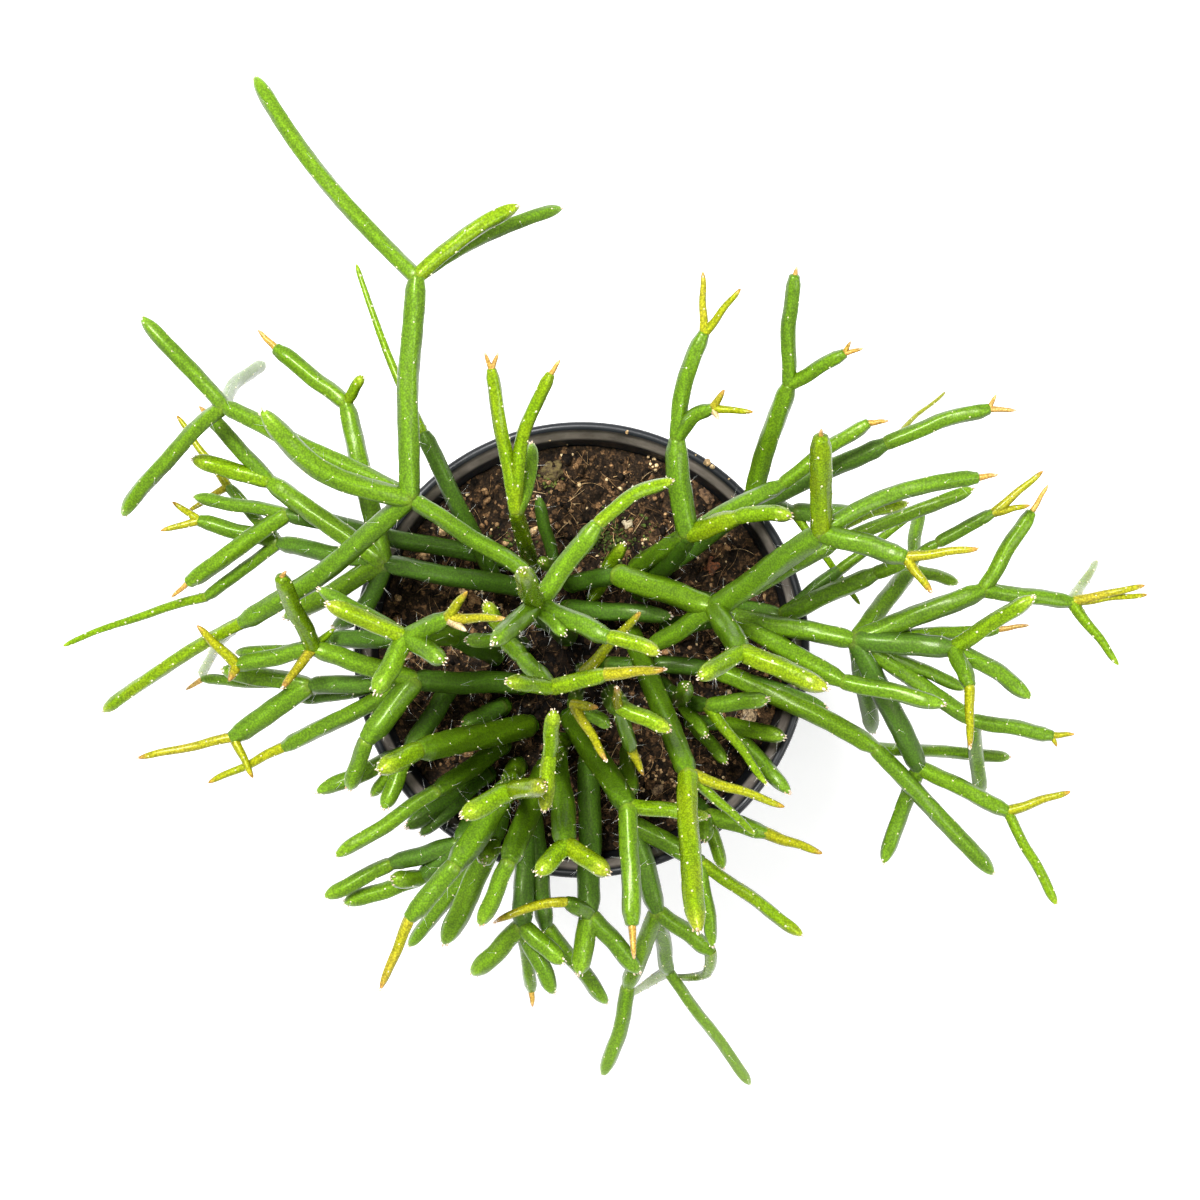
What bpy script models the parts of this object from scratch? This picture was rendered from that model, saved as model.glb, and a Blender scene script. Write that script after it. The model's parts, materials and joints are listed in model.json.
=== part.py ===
# Mistletoe cactus in its pot: a black nursery pot, its mix with loose bits, and the rooted stems.
# Metres, +Z up. The origin is on the pot's axis, on the flat base that it stands on.
import math

import bmesh
import bpy
import numpy as np
from mathutils import Vector, noise

MM = 0.001

# Pot, in millimetres as all that follows
POT_HEIGHT = 95.0
LIP_RADIUS = 60.0
COLLAR_DEPTH = 11.0
BASE_RADIUS = 42.0
WALL = 1.2
FLOOR = 2.4
LEDGE_HEIGHT = POT_HEIGHT - 9.0
POT_SIDES = 36
DRAIN_COUNT = 8
DRAIN_RADIUS = 4.0
DRAIN_RING = 29.0
BASE_BEVEL = 1.0
SHOULDER_INSET = 2.8
SHOULDER_RISE = 0.4
LEDGE_INSET = 4.3
LEDGE_SLOPE = 0.8
# How far the corners of the rolled lip lie inside its greatest radius, and below the top
LIP_SECTION = [(1.2, 2.4), (0.2, 1.7), (0.0, 0.9), (0.4, 0.2), (1.0, 0.0), (1.7, 0.6)]
CREASE = 35.0
OVERCUT = 1.0

# Mix
GAP = 0.3
SOIL_DROP = 11.5
SOIL_RADIUS = 54.1
SOIL_BUMP = 0.8
SOIL_PATCH = 9.0
SOIL_RINGS = 5
PEG_DEPTH = 12.0
PEG_SIDES = 7
BIT_SIDES = 7
BIT_WOBBLE = 0.16
BIT_WAVE = 3.1
# Each layer of a loose bit: its height and its width as shares of the whole, and the side it is on
BIT_LAYERS = ((-0.45, 0.7, -1), (0.05, 1.0, 0), (0.55, 0.66, 1))

# Where the plant is seen from, and how it is rooted
EYE_HEIGHT = 850.0
EYE_X = 4.9
EYE_Y = 13.2
ROOT_RISE = 4.5

# How the shoots make room for each other
CLEARANCE = 1.0
SETTLE_ROUNDS = 260
PULL_ROUNDS = 182
PAIR_ROUNDS = 25
SAMPLE_STEP = 2.5
NEAR = 7.0
SIDE_SHARE = 0.35
EASE = 0.45
PULL_BACK = 0.03
NUDGE = 0.01
OVERPUSH = 0.05
LEAST_WEIGHT = 0.2
OVER_GROUND = 0.6
OVER_MIX = 0.5
OVER_RIM = 0.7
RIM_MARGIN = 0.8

# Rings of a shoot: distances as shares of its radius, then radii as shares of its full one
SHOOT_SIDES = 6
SLIM_SIDES = 5
SLIM_WIDTH = 4.9
SPRIG_WIDTH = 2.7
STRAIGHT = 0.7
CURVED = 3.0
BACK = 0.25
SHOULDER = 0.8
END_REACH = 0.9
OVERRUN = 0.3
STUBBY = 2.4
NECK_SHARE = 0.62
SHOULDER_SHARE = 0.96
END_SHARE = 0.92
TIP_SHARE = 0.5
OVERRUN_SHARE = 0.66
SPRIG_TIP_SHARE = 0.45
PEG_SHARE = 0.85
TURN_STEP = 0.37
PATH_STEP = 0.01
SIDE_GUIDE = Vector((0.13, 0.31, 1.0))
SEAM = 0.002

# Ages of a shoot, oldest first: woody green, full green, fresh green, yellow growth, bud, dry husk
OLD, RIPE, YOUNG, NEW, BUD, HUSK = range(6)
SOIL = ROOT_RISE - SOIL_DROP

# One entry for each shoot, in millimetres: where its far end is seen from the eye above the pot, measured
# at the rim, its height over the rim, its thickness, its age and how far it bows to its left.
# Its name less the last letter is the shoot it grows from, and "" is where the stem leaves the mix.
STEMS = {
    "stem_north_west": {
        "": (-10, 8, SOIL, 5.4, OLD), "a": (-15, 21, 34, 4.6, OLD), "aa": (-45.5, 40.2, 46, 4.6, RIPE),
        "aaa": (-43.5, 98.5, 52, 5.6, RIPE, 1), "aaaa": (-86.3, 151.5, 28, 4.3, RIPE, 2.6),
        "aaab": (-16.5, 117.5, 48, 4.2, YOUNG, 1.5), "aaac": (-5.2, 116.8, 30, 3.6, RIPE, 2),
        "aab": (-84.5, 63.5, 58, 5.6, RIPE, 5), "aac": (-94.5, 64.5, 30, 4.6, RIPE),
        "aaca": (-116.3, 88, 32, 4.2, RIPE), "aacb": (-84, 75.5, -30, 3.4, RIPE, 2),
        "aacc": (-121.3, 35.5, 8, 4.2, RIPE, -1.6), "aad": (-89.6, 7.3, 18, 5.2, RIPE, 1.9),
        "aada": (-126.5, -16.3, -8, 3.5, YOUNG, -1), "aadb": (-100.5, -7, -35, 2.6, YOUNG, -1.5),
    },
    "stem_north_thin": {
        "": (-22, 17, SOIL, 4.4, OLD), "a": (-42.5, 59.5, 18, 4.5, OLD),
        "aa": (-59.5, 102, 22, 2.1, YOUNG, 1),
    },
    "stem_west": {
        "": (-11, 15.4, SOIL, 5.2, OLD), "a": (-53, 24, 12, 5.2, OLD), "aa": (-62.3, 65.2, 15, 5.0, RIPE),
        "aaa": (-80.6, 79.6, 12, 4.4, RIPE), "aaaa": (-85.6, 84.6, 12, 1.6, BUD),
        "aab": (-57.9, 72.5, 20, 3.0, YOUNG), "ab": (-82.5, 44.5, 10, 5.2, RIPE),
        "aba": (-99, 62.5, 14, 4.0, RIPE), "abaa": (-101.2, 64.5, 15, 1.3, BUD),
        "abb": (-94, 56.5, 6, 3.4, RIPE), "abba": (-99.3, 60.2, 6, 1.3, BUD),
        "abc": (-103, 50.5, 12, 4.5, YOUNG), "ac": (-80, 28.3, 3, 4.6, OLD),
        "aca": (-101, 34.2, 0, 4.2, RIPE), "acaa": (-108.2, 39.2, 0, 1.9, NEW),
        "acab": (-111.3, 31.5, 0, 1.9, NEW), "acb": (-93.5, 43.3, -6, 3.0, RIPE),
        "acba": (-107, 62, -8, 2.0, YOUNG), "acbb": (-104.2, 36.5, -8, 1.7, YOUNG),
        "acc": (-99.3, 14, -4, 3.2, RIPE), "acca": (-137, 1, -15, 2.1, YOUNG, -1),
        "ad": (-78.5, 8.5, 4, 5.0, RIPE), "ae": (-65.8, 6, 4, 4.6, OLD, 3),
    },
    "stem_west_dark": {
        "": (-20, 23.5, SOIL, 4.6, OLD), "a": (-77.5, 35, 4, 4.6, OLD),
        "aa": (-102.5, 40.5, 0, 3.5, RIPE), "ab": (-103.6, 18, 0, 4.6, RIPE),
        "aba": (-108.5, 13.8, 0, 1.3, BUD),
    },
    "stem_centre": {
        "": (-4, 4, SOIL, 6.0, OLD), "a": (-12, 12, 70, 6.4, OLD), "aa": (-15.8, 21, 100, 5.6, YOUNG),
        "ab": (4, 33, 76, 5.2, RIPE), "aba": (24.2, 44.8, 70, 3.6, YOUNG, 1.6),
        "ac": (7, 3.4, 80, 5.4, RIPE), "aca": (20.6, -1, 84, 4.0, YOUNG, 0.6),
        "ad": (-23.3, 1.8, 98, 5.4, RIPE), "ae": (-4.3, 4, 78, 3.8, RIPE),
    },
    "stem_centre_low": {
        "": (-16, 1, SOIL, 5.0, OLD), "a": (-20, 2.5, 44, 5.0, OLD), "aa": (-15.5, -2.2, 52, 4.6, RIPE),
        "aaa": (-8, -10, 62, 4.6, RIPE), "aaaa": (-19.8, -8.3, 72, 4.3, YOUNG),
        "aaab": (6.7, -6.4, 70, 4.4, YOUNG), "aaaba": (22.3, -5.1, 76, 2.9, NEW),
        "ab": (-30.6, 2.5, 50, 3.8, RIPE), "ac": (-25.4, 12.6, 54, 4.0, YOUNG),
    },
    "stem_north_mid": {
        "": (-13, 22, SOIL, 4.2, OLD), "a": (-17.4, 36.4, 40, 4.2, YOUNG),
        "aa": (-23.8, 74, 52, 3.7, YOUNG), "aaa": (-25.6, 78.6, 54, 1.2, BUD),
        "aab": (-22, 78.6, 54, 1.2, BUD), "ab": (-8.3, 72.7, 54, 3.5, YOUNG, 2.5),
        "aba": (-5.6, 76.8, 55, 1.2, BUD), "ac": (-13.2, 54.7, 34, 4.2, RIPE, -1),
    },
    "stem_north_small": {
        "": (-7, 21.5, SOIL, 3.6, OLD), "a": (-11.5, 40.6, 6, 3.3, OLD),
        "b": (-10.5, 23.3, 30, 3.5, RIPE),
    },
    "stem_north_east": {
        "": (16, 15.5, SOIL, 5.6, OLD), "a": (28.2, 30.5, 30, 6.2, OLD),
        "aa": (25.3, 55.5, 38, 6.0, RIPE, 0.8), "aaa": (32.3, 83.5, 46, 4.4, RIPE, 1.6),
        "aaaa": (32.1, 100, 48, 2.0, NEW), "aaab": (42.1, 95.6, 50, 2.0, NEW),
        "aab": (34.6, 63.8, 46, 3.9, RIPE, 1.6), "aaba": (37.8, 68.9, 50, 1.9, NEW),
        "aabb": (45.4, 62.9, 50, 1.9, NEW), "aabc": (36.3, 60.8, 48, 1.5, HUSK),
        "ab": (41, 35, 38, 5.2, YOUNG), "aba": (55.7, 35.2, 44, 4.2, YOUNG, 1),
        "ac": (53, 43.7, 24, 4.4, RIPE, 0.5), "aca": (75.6, 59.9, 30, 3.8, RIPE, 0.5),
        "acaa": (81.3, 60.6, 31, 1.4, BUD), "ad": (11.5, 21, 2, 5.0, RIPE),
    },
    "stem_north_inner": {
        "": (3, 14, SOIL, 3.6, OLD), "a": (10.9, 28, 12, 3.7, YOUNG),
    },
    "stem_east": {
        "": (-2.5, 17.5, SOIL, 4.8, OLD), "a": (10, 20.2, 10, 4.8, OLD), "aa": (35.3, 11, 26, 6.4, RIPE),
        "aab": (42.3, -0.5, 50, 6.2, RIPE), "aaba": (31, -7.4, 62, 4.8, YOUNG),
        "aabb": (65, -10.3, 58, 5.4, YOUNG), "aac": (17.5, 0.4, 14, 4.8, RIPE),
        "aad": (63.3, 31, 54, 6.4, RIPE), "aada": (63.3, 56, 74, 5.8, YOUNG),
        "aadaa": (63.4, 58.6, 76, 1.2, BUD), "aadb": (85.5, 24.6, 62, 5.6, RIPE),
        "aadba": (105.2, 26.8, 66, 3.0, NEW), "aadbb": (92.7, 15, 64, 3.0, NEW),
        "aadc": (104.5, 45.5, 52, 4.3, RIPE, 3), "aadca": (110.3, 46.4, 53, 1.5, BUD),
        "aadd": (86.2, 38.8, 46, 3.5, YOUNG, 0.8), "aae": (67, 28.3, 34, 4.2, RIPE),
        "aaea": (103.6, 42.6, 36, 3.6, RIPE),
    },
    "stem_north_far": {
        "": (22.5, 22, SOIL, 4.8, OLD), "a": (44.5, 38, 9, 4.8, OLD),
        "aa": (54.8, 70, 32, 5.2, RIPE, 0.5), "aaa": (56.3, 98.7, 44, 4.0, RIPE, 0.6),
        "aaaa": (57, 101.4, 45, 1.2, BUD), "aab": (69.3, 78.3, 40, 3.8, RIPE),
        "aaba": (71.2, 81.7, 42, 1.2, BUD), "aabb": (74.5, 79.7, 42, 1.2, BUD),
        "ab": (80.2, 54.4, 18, 5.0, OLD), "aba": (107.6, 63.7, 22, 4.1, RIPE, 0.8),
        "abaa": (109.7, 67.7, 23, 1.2, BUD), "abab": (115, 63.3, 23, 1.4, BUD),
        "abb": (96.2, 68.2, -4, 1.3, NEW), "ac": (56, 36.5, 6, 4.8, OLD), "aca": (73, 35.8, 5, 4.8, OLD),
        "acb": (73.6, 12, 0, 1.9, YOUNG),
    },
    "stem_centre_dark": {
        "": (-3.5, 11.1, SOIL, 4.6, OLD), "a": (24.3, 10.2, -1, 4.6, OLD),
    },
    "stem_east_low": {
        "": (23, 6, SOIL, 5.0, OLD), "a": (39, 8.8, 8, 5.2, OLD), "aa": (71.8, 2.6, 16, 5.2, RIPE),
        "aaa": (98.3, 0.5, 26, 5.8, OLD), "aaaa": (119.6, 14.1, 36, 4.3, YOUNG),
        "aaab": (118.7, -12.7, 24, 4.4, RIPE, 0.8), "aaac": (102.6, -9.3, 34, 4.4, RIPE),
        "aaaca": (102.7, -26, 34, 3.0, NEW), "aab": (106, 15.8, 20, 5.4, RIPE),
        "aaba": (118.8, 36.2, 22, 4.1, RIPE), "aabaa": (123.4, 43.7, 23, 1.3, BUD),
        "aabb": (129.5, 12.7, 16, 4.2, RIPE), "aabba": (149, 17.1, 18, 2.2, NEW),
        "aabbb": (149.6, 14.6, 16, 1.9, NEW), "aabbc": (142, -4, 14, 2.6, YOUNG),
        "aabbd": (136.3, 23.6, -15, 2.6, YOUNG), "aac": (87, 21.5, 2, 4.8, RIPE),
        "aaca": (89.6, 38.3, -12, 3.4, RIPE), "aacb": (99.5, 17.8, -4, 3.2, RIPE),
        "aad": (88.5, -31.5, 2, 5.6, OLD), "aada": (79.7, -56.7, -4, 4.1, RIPE),
        "aadb": (112.5, -42.6, 2, 4.3, RIPE), "aadba": (129.3, -37.4, 4, 2.3, NEW),
        "aadbb": (125.6, -67.3, 0, 2.8, YOUNG), "aae": (77, -21.8, -10, 4.4, OLD),
        "aaf": (103.3, -18.6, 8, 4.4, RIPE), "aafa": (124.3, -22.6, 10, 4.0, RIPE),
        "aafaa": (130.4, -22.2, 11, 1.5, NEW), "aafab": (125.7, -25.6, 10, 1.3, NEW),
        "aafb": (105.6, -38, -16, 3.8, RIPE), "aag": (109.8, 5.4, 14, 3.4, RIPE),
        "aaga": (118.4, 6.6, 16, 1.3, BUD), "aah": (101.3, -10.3, 10, 3.4, RIPE),
        "ab": (69, -8.3, 24, 5.0, RIPE), "aba": (96, -14.4, 30, 4.5, RIPE),
    },
    "stem_east_far": {
        "": (28.5, 14, SOIL, 4.6, OLD), "a": (53, 9, 7, 4.6, OLD), "aa": (77.6, 20.3, 16, 4.8, RIPE),
        "aaa": (85.6, 23, 20, 3.8, RIPE), "aaaa": (94.2, 28.4, 24, 3.0, RIPE),
        "aaaaa": (108.8, 36.2, 26, 3.4, RIPE), "aaaaaa": (122, 47.3, 28, 2.1, NEW),
        "aaaaab": (118.6, 38.3, 27, 1.8, NEW), "ab": (68.4, 21.3, 8, 3.8, OLD),
        "aba": (88.6, 36.6, 12, 2.4, RIPE),
    },
    "stem_south_east": {
        "": (7, -4, SOIL, 4.6, OLD), "a": (33, -5.5, -2, 4.6, OLD),
        "aa": (78.3, -25.6, 6, 5.0, RIPE, 1.2), "aaa": (109.5, -58.4, -8, 4.3, RIPE),
        "aab": (114, -28.6, -14, 3.2, RIPE), "ab": (64.8, -15.3, 3, 4.0, OLD),
    },
    "stem_east_small": {
        "": (20, -8, SOIL, 4.2, OLD), "a": (26, -10.5, 12, 4.4, OLD), "aa": (27.7, -9.6, 36, 4.5, RIPE),
        "ab": (33, -22.8, 24, 3.5, RIPE), "ac": (33.6, -14.8, 20, 4.0, OLD),
        "aca": (49.4, -12.9, 26, 4.4, RIPE), "acb": (49, -35.6, 22, 2.7, YOUNG),
    },
    "stem_south_near": {
        "": (13, 4.5, SOIL, 5.4, OLD), "a": (28.4, -33, 44, 5.8, RIPE),
        "aa": (31, -74.6, 76, 5.6, YOUNG, -1), "ab": (53.7, -41.5, 40, 2.6, NEW),
        "ac": (45.8, -48.8, 36, 2.6, YOUNG),
    },
    "stem_south_mid": {
        "": (-3, -18, SOIL, 5.4, OLD), "a": (11.4, -42, 38, 6.4, RIPE),
        "aa": (13.4, -72.3, 46, 5.0, RIPE), "aaa": (13.9, -81.8, 48, 1.7, BUD),
        "ab": (33.6, -43.9, 30, 4.0, YOUNG),
    },
    "stem_south_drop": {
        "": (9, -33, SOIL, 4.8, OLD), "a": (13.5, -46, 7, 5.0, OLD), "aa": (20, -69, 6, 5.4, OLD),
        "aaa": (34, -79.6, 0, 4.4, RIPE), "aaaa": (24.6, -86, -25, 2.5, YOUNG, 4.5),
        "aab": (12.3, -88.7, -12, 4.5, RIPE), "aaba": (5.6, -112.4, -25, 3.9, RIPE, 1),
        "aac": (22.8, -84.8, -16, 4.0, RIPE), "aaca": (44.6, -114.8, -35, 2.9, RIPE),
        "aacb": (12.6, -91.2, -45, 2.4, YOUNG), "ab": (31.5, -56, 12, 5.0, RIPE),
        "aba": (58.4, -75.4, 8, 3.3, YOUNG), "abb": (34.7, -78.5, 12, 3.4, RIPE),
    },
    "stem_south": {
        "": (2, -28, SOIL, 5.4, OLD), "a": (2, -69.8, 10, 6.0, OLD), "aa": (-3.8, -66.6, 18, 4.2, RIPE),
        "aaa": (-23, -72, 20, 3.0, NEW, -1.2), "ab": (-1, -85.7, 10, 5.2, RIPE),
        "ac": (15.3, -85.2, 4, 4.8, RIPE),
    },
    "stem_south_twin": {
        "": (-13.4, -37.3, SOIL, 5.4, OLD), "a": (-15.7, -73, 4, 5.6, OLD),
        "b": (-9.4, -73, -2, 4.8, OLD), "aa": (-28.8, -85.8, 0, 5.0, RIPE),
        "ab": (-7.3, -90.8, 2, 4.4, RIPE), "ac": (-4.4, -82.8, 12, 4.8, RIPE),
        "ad": (-13.2, -89.6, -10, 3.4, RIPE), "ada": (-12.9, -94.4, -10, 1.4, BUD),
        "ba": (6.7, -93.4, -8, 4.0, RIPE),
    },
    "stem_south_bank": {
        "": (-9.5, -31.2, SOIL, 5.4, OLD), "a": (-19.7, -56.6, 32, 6.2, RIPE),
        "aa": (-26.8, -72.8, 30, 4.4, RIPE),
    },
    "stem_south_high": {
        "": (-5.5, -24.5, SOIL, 5.4, OLD), "a": (-6, -27.5, 15, 5.4, RIPE),
        "aa": (-4, -51.5, 44, 6.4, RIPE), "aaa": (-11.7, -59.2, 52, 5.0, YOUNG),
        "aab": (7.2, -59.2, 52, 5.0, YOUNG), "ab": (-8.5, -28, 54, 4.4, YOUNG),
        "aba": (-7.4, -16, 62, 4.1, YOUNG), "abb": (-9.8, -42.6, 60, 4.1, YOUNG),
    },
    "stem_south_west": {
        "": (-17, -31, SOIL, 5.4, OLD), "a": (-19, -36, 14, 5.6, RIPE),
        "aa": (-33.2, -56.6, 30, 6.8, RIPE), "aaa": (-45.3, -70.7, 28, 5.2, RIPE),
        "aaaa": (-53.2, -89.8, 24, 3.3, NEW), "ab": (-18.7, -37.2, 56, 5.0, RIPE),
        "aba": (-31.6, -44, 64, 5.4, YOUNG), "abb": (-9.7, -36, 72, 5.2, YOUNG),
    },
    "stem_south_pale": {
        "": (-20, -37.5, SOIL, 5.0, OLD), "a": (-23.5, -51, 6, 5.0, OLD),
        "aa": (-36.4, -77.8, 0, 5.8, RIPE), "ab": (-45.6, -78.3, -10, 3.7, RIPE),
        "ac": (-26, -55.8, 18, 5.0, RIPE),
    },
    "stem_west_south": {
        "": (-14, -20, SOIL, 5.6, OLD), "a": (-43, -26.4, 40, 6.8, RIPE),
        "aa": (-53.6, -31.9, 50, 5.4, YOUNG), "b": (-29.5, -21.8, 12, 5.0, OLD),
    },
    "stem_south_west_long": {
        "": (-21, -25.5, SOIL, 4.8, OLD), "a": (-37.9, -37, 20, 5.0, RIPE),
        "aa": (-65, -54.5, 18, 3.9, RIPE),
    },
    "stem_south_west_low": {
        "": (-25, -33, SOIL, 4.8, OLD), "a": (-46.3, -47, 6, 4.8, OLD), "b": (-40.5, -51.3, 0, 3.8, OLD),
        "c": (-34, -47.6, 2, 3.4, RIPE),
    },
    "stem_south_west_trail": {
        "": (-27, -40, SOIL, 4.8, OLD), "a": (-34, -49.5, 7, 5.0, OLD), "aa": (-50, -57.6, 5, 4.6, OLD),
        "aaa": (-67.8, -65.4, 3, 4.1, RIPE), "ab": (-43, -58.8, 3, 4.6, OLD),
        "aba": (-62.8, -66.8, 0, 4.4, RIPE), "abb": (-50.4, -59.3, 12, 4.6, RIPE),
    },
    "stem_west_trail": {
        "": (-34, -9, SOIL, 4.8, OLD), "a": (-45.8, -27, 5, 5.2, OLD), "aa": (-70, -37.6, 2, 4.3, RIPE),
        "ab": (-52.3, -42, 8, 4.4, RIPE), "ac": (-55.6, -38.6, 1, 3.1, RIPE),
    },
    "stem_west_mid": {
        "": (-16, -9, SOIL, 5.6, OLD), "a": (-44, -8, 16, 5.8, OLD), "aa": (-56.8, -23.6, 18, 6.2, RIPE),
        "aaa": (-61.4, -36.8, 10, 4.3, RIPE), "ab": (-71, 0.5, 20, 5.0, RIPE),
        "aba": (-79.4, 19, 44, 4.6, YOUNG), "abaa": (-78, 21, 46, 1.2, BUD),
        "abb": (-79.2, -10.2, 30, 3.1, NEW), "abc": (-91, -4, 14, 4.4, RIPE),
        "abca": (-101.6, 6.6, 18, 2.6, NEW), "abcb": (-93.2, -8.3, 18, 2.5, NEW),
        "abd": (-91.4, -0.7, 6, 2.9, RIPE), "abe": (-65.3, 5.7, 16, 1.9, YOUNG),
        "ac": (-72, -9.4, 5, 4.8, OLD), "aca": (-95.2, -5.2, 2, 4.8, RIPE),
        "acb": (-92, -23, -2, 5.4, RIPE), "acba": (-117.4, -28.6, -2, 2.9, NEW),
        "acbb": (-86.8, -33.9, 0, 2.1, NEW), "acc": (-100, -7.6, -12, 2.9, RIPE),
        "acca": (-104.7, -10.6, -12, 1.3, BUD), "ad": (-78.4, -25.5, -2, 4.3, RIPE),
        "ada": (-98.7, -35.1, -4, 2.3, NEW), "ae": (-74, -13.6, -3, 2.9, OLD),
    },
    "stem_west_high": {
        "": (-23, -1.6, SOIL, 5.2, OLD), "a": (-34, 3.5, 24, 5.2, OLD), "aa": (-46.3, 3.3, 56, 5.4, RIPE),
        "aaa": (-69.6, 16.2, 50, 4.0, RIPE), "aab": (-67.4, 12.3, 62, 4.7, YOUNG),
        "aac": (-35.6, 8.4, 64, 5.0, RIPE), "aaca": (-30.2, 15.6, 70, 2.5, NEW),
        "aacb": (-20, 8.3, 72, 2.5, NEW), "aacc": (-30.4, 5, 68, 2.1, HUSK),
        "aad": (-36.3, -3, 66, 5.0, RIPE), "aae": (-54.5, -11.6, 62, 5.4, RIPE),
        "ab": (-68.5, 3, 7, 4.8, OLD),
    },
    "stem_west_bare": {
        "": (-21, -15, SOIL, 5.0, OLD), "a": (-31.5, -20.5, 2, 5.0, OLD),
    },
    "stem_golden": {
        "": (0, -5, SOIL, 3.4, OLD), "a": (1, -5.6, 38, 3.2, RIPE), "aa": (15.6, 10, 58, 2.7, NEW),
    },
    "stem_south_inner": {
        "": (-1, -11, SOIL, 3.8, OLD), "a": (-2, -14.6, 44, 3.8, RIPE), "aa": (6.2, -15, 50, 2.5, NEW),
        "ab": (6.6, -29.4, 54, 3.1, NEW), "ac": (7.8, -20.2, 42, 3.7, RIPE),
    },
    "stem_centre_south": {
        "": (8, -12, SOIL, 5.4, OLD), "a": (8, -15, 54, 6.0, RIPE), "aa": (23.4, -21.2, 56, 4.3, YOUNG),
        "ab": (9.3, -9.8, 68, 3.0, NEW), "ac": (13, -26, 36, 3.7, RIPE),
        "aca": (16.4, -33.2, 34, 2.1, NEW),
    },
    "stem_south_nub": {
        "": (12, -27, SOIL, 4.0, OLD), "a": (13, -38, 24, 4.3, RIPE),
    },
    "stem_east_floor": {
        "": (29, -19, SOIL, 4.0, OLD), "a": (38, -19.6, -2, 4.0, OLD), "aa": (53.7, -23.1, 10, 4.3, RIPE),
        "ab": (55.1, -37.8, 8, 4.1, RIPE), "b": (38.4, -29.9, 2, 3.5, RIPE),
    },
    "stem_south_east_low": {
        "": (27, -37, SOIL, 4.4, OLD), "a": (33, -43.6, 8, 4.4, OLD), "aa": (48.6, -48.4, 8, 4.5, RIPE),
        "aaa": (63.7, -53.8, 9, 2.6, NEW), "ab": (32.6, -50.4, 16, 3.9, RIPE),
        "ac": (37.4, -57.8, 6, 3.5, RIPE),
    },
}

# Loose bits on the mix: x, y, length, width, thickness, turn in degrees and colour
BITS = {
    "bark_chip_green": (-8, 48, 6.5, 5, 2.6, 20, "#6f6136"),
    "bark_chip_tan": (33.5, 39.5, 7.5, 4, 2.6, -35, "#9c8a68"),
    "bark_chip_orange": (35, 22.5, 5, 4, 2.4, 60, "#9a5a33"),
    "pumice_grain_pale": (12.3, 33.5, 3.4, 3, 2.2, 10, "#cfc0a0"),
    "bark_chip_large": (44.5, -18, 7, 4.5, 3, 75, "#b89f78"),
    "bark_chip_red": (47, -9.5, 4.2, 3, 2.2, 15, "#7c4230"),
    "bark_chip_brown": (46, 14.5, 5, 3.6, 2.4, -20, "#6d4a33"),
    "bark_chip_small": (20.3, -37.5, 4, 3, 2.2, 40, "#a08360"),
}

# Colours and roughness
STEM_COLOURS = {
    OLD: "#4c6a35", RIPE: "#5d7f3c", YOUNG: "#86a24c", NEW: "#b7b84a", BUD: "#c98a45", HUSK: "#c9b8a0",
}
POT_COLOUR = "#1d1f21"
MIX_COLOUR = "#2b2119"
STEM_ROUGHNESS = 0.5
POT_ROUGHNESS = 0.45
MIX_ROUGHNESS = 0.95


def clear_file():
    """Removes what a new file comes with."""
    for old in list(bpy.data.objects):
        bpy.data.objects.remove(old)


def linear(colour):
    """Turns an sRGB hex colour into the linear values of a shader socket."""
    parts = [int(colour[i:i + 2], 16) / 255 for i in (1, 3, 5)]
    return [c / 12.92 if c <= 0.04045 else ((c + 0.055) / 1.055) ** 2.4 for c in parts] + [1.0]


def paint(thing, colour, roughness):
    """Gives an object a material of its own."""
    material = bpy.data.materials.new(thing.name)
    material.use_nodes = True
    shader = material.node_tree.nodes["Principled BSDF"]
    shader.inputs["Base Color"].default_value = linear(colour)
    shader.inputs["Roughness"].default_value = roughness
    thing.data.materials.clear()
    thing.data.materials.append(material)


def add_object(name, mesh):
    """Puts a mesh in the scene under the name of its piece."""
    mesh.name = name
    thing = bpy.data.objects.new(name, mesh)
    bpy.context.scene.collection.objects.link(thing)
    return thing


def mesh_from(rings_list):
    """Makes one mesh out of closed tubes, each a list of rings from end to end."""
    shape = bmesh.new()
    for rings in rings_list:
        add_tube(shape, rings)
    bmesh.ops.recalc_face_normals(shape, faces=shape.faces)
    mesh = bpy.data.meshes.new("shape")
    shape.to_mesh(mesh)
    shape.free()
    return mesh


def add_tube(shape, rings):
    """Adds one tube with flat ends to the shape."""
    loops = [[shape.verts.new(point) for point in ring] for ring in rings]
    for lower, upper in zip(loops, loops[1:]):
        for i in range(len(lower)):
            j = (i + 1) % len(lower)
            shape.faces.new((lower[i], lower[j], upper[j], upper[i]))
    shape.faces.new(loops[0][::-1])
    shape.faces.new(loops[-1])


def combined(base, other, operation):
    """The mesh that is left when two meshes are merged or one is cut from the other."""
    body = add_object("body", base)
    tool = add_object("tool", other)
    tool.hide_render = True
    tool.display_type = "WIRE"
    step = body.modifiers.new("step", "BOOLEAN")
    step.operation = operation
    step.solver = "EXACT"
    step.use_self = True
    step.object = tool
    graph = bpy.context.evaluated_depsgraph_get()
    result = bpy.data.meshes.new_from_object(body.evaluated_get(graph))
    bpy.data.objects.remove(body)
    bpy.data.objects.remove(tool)
    return result


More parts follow.
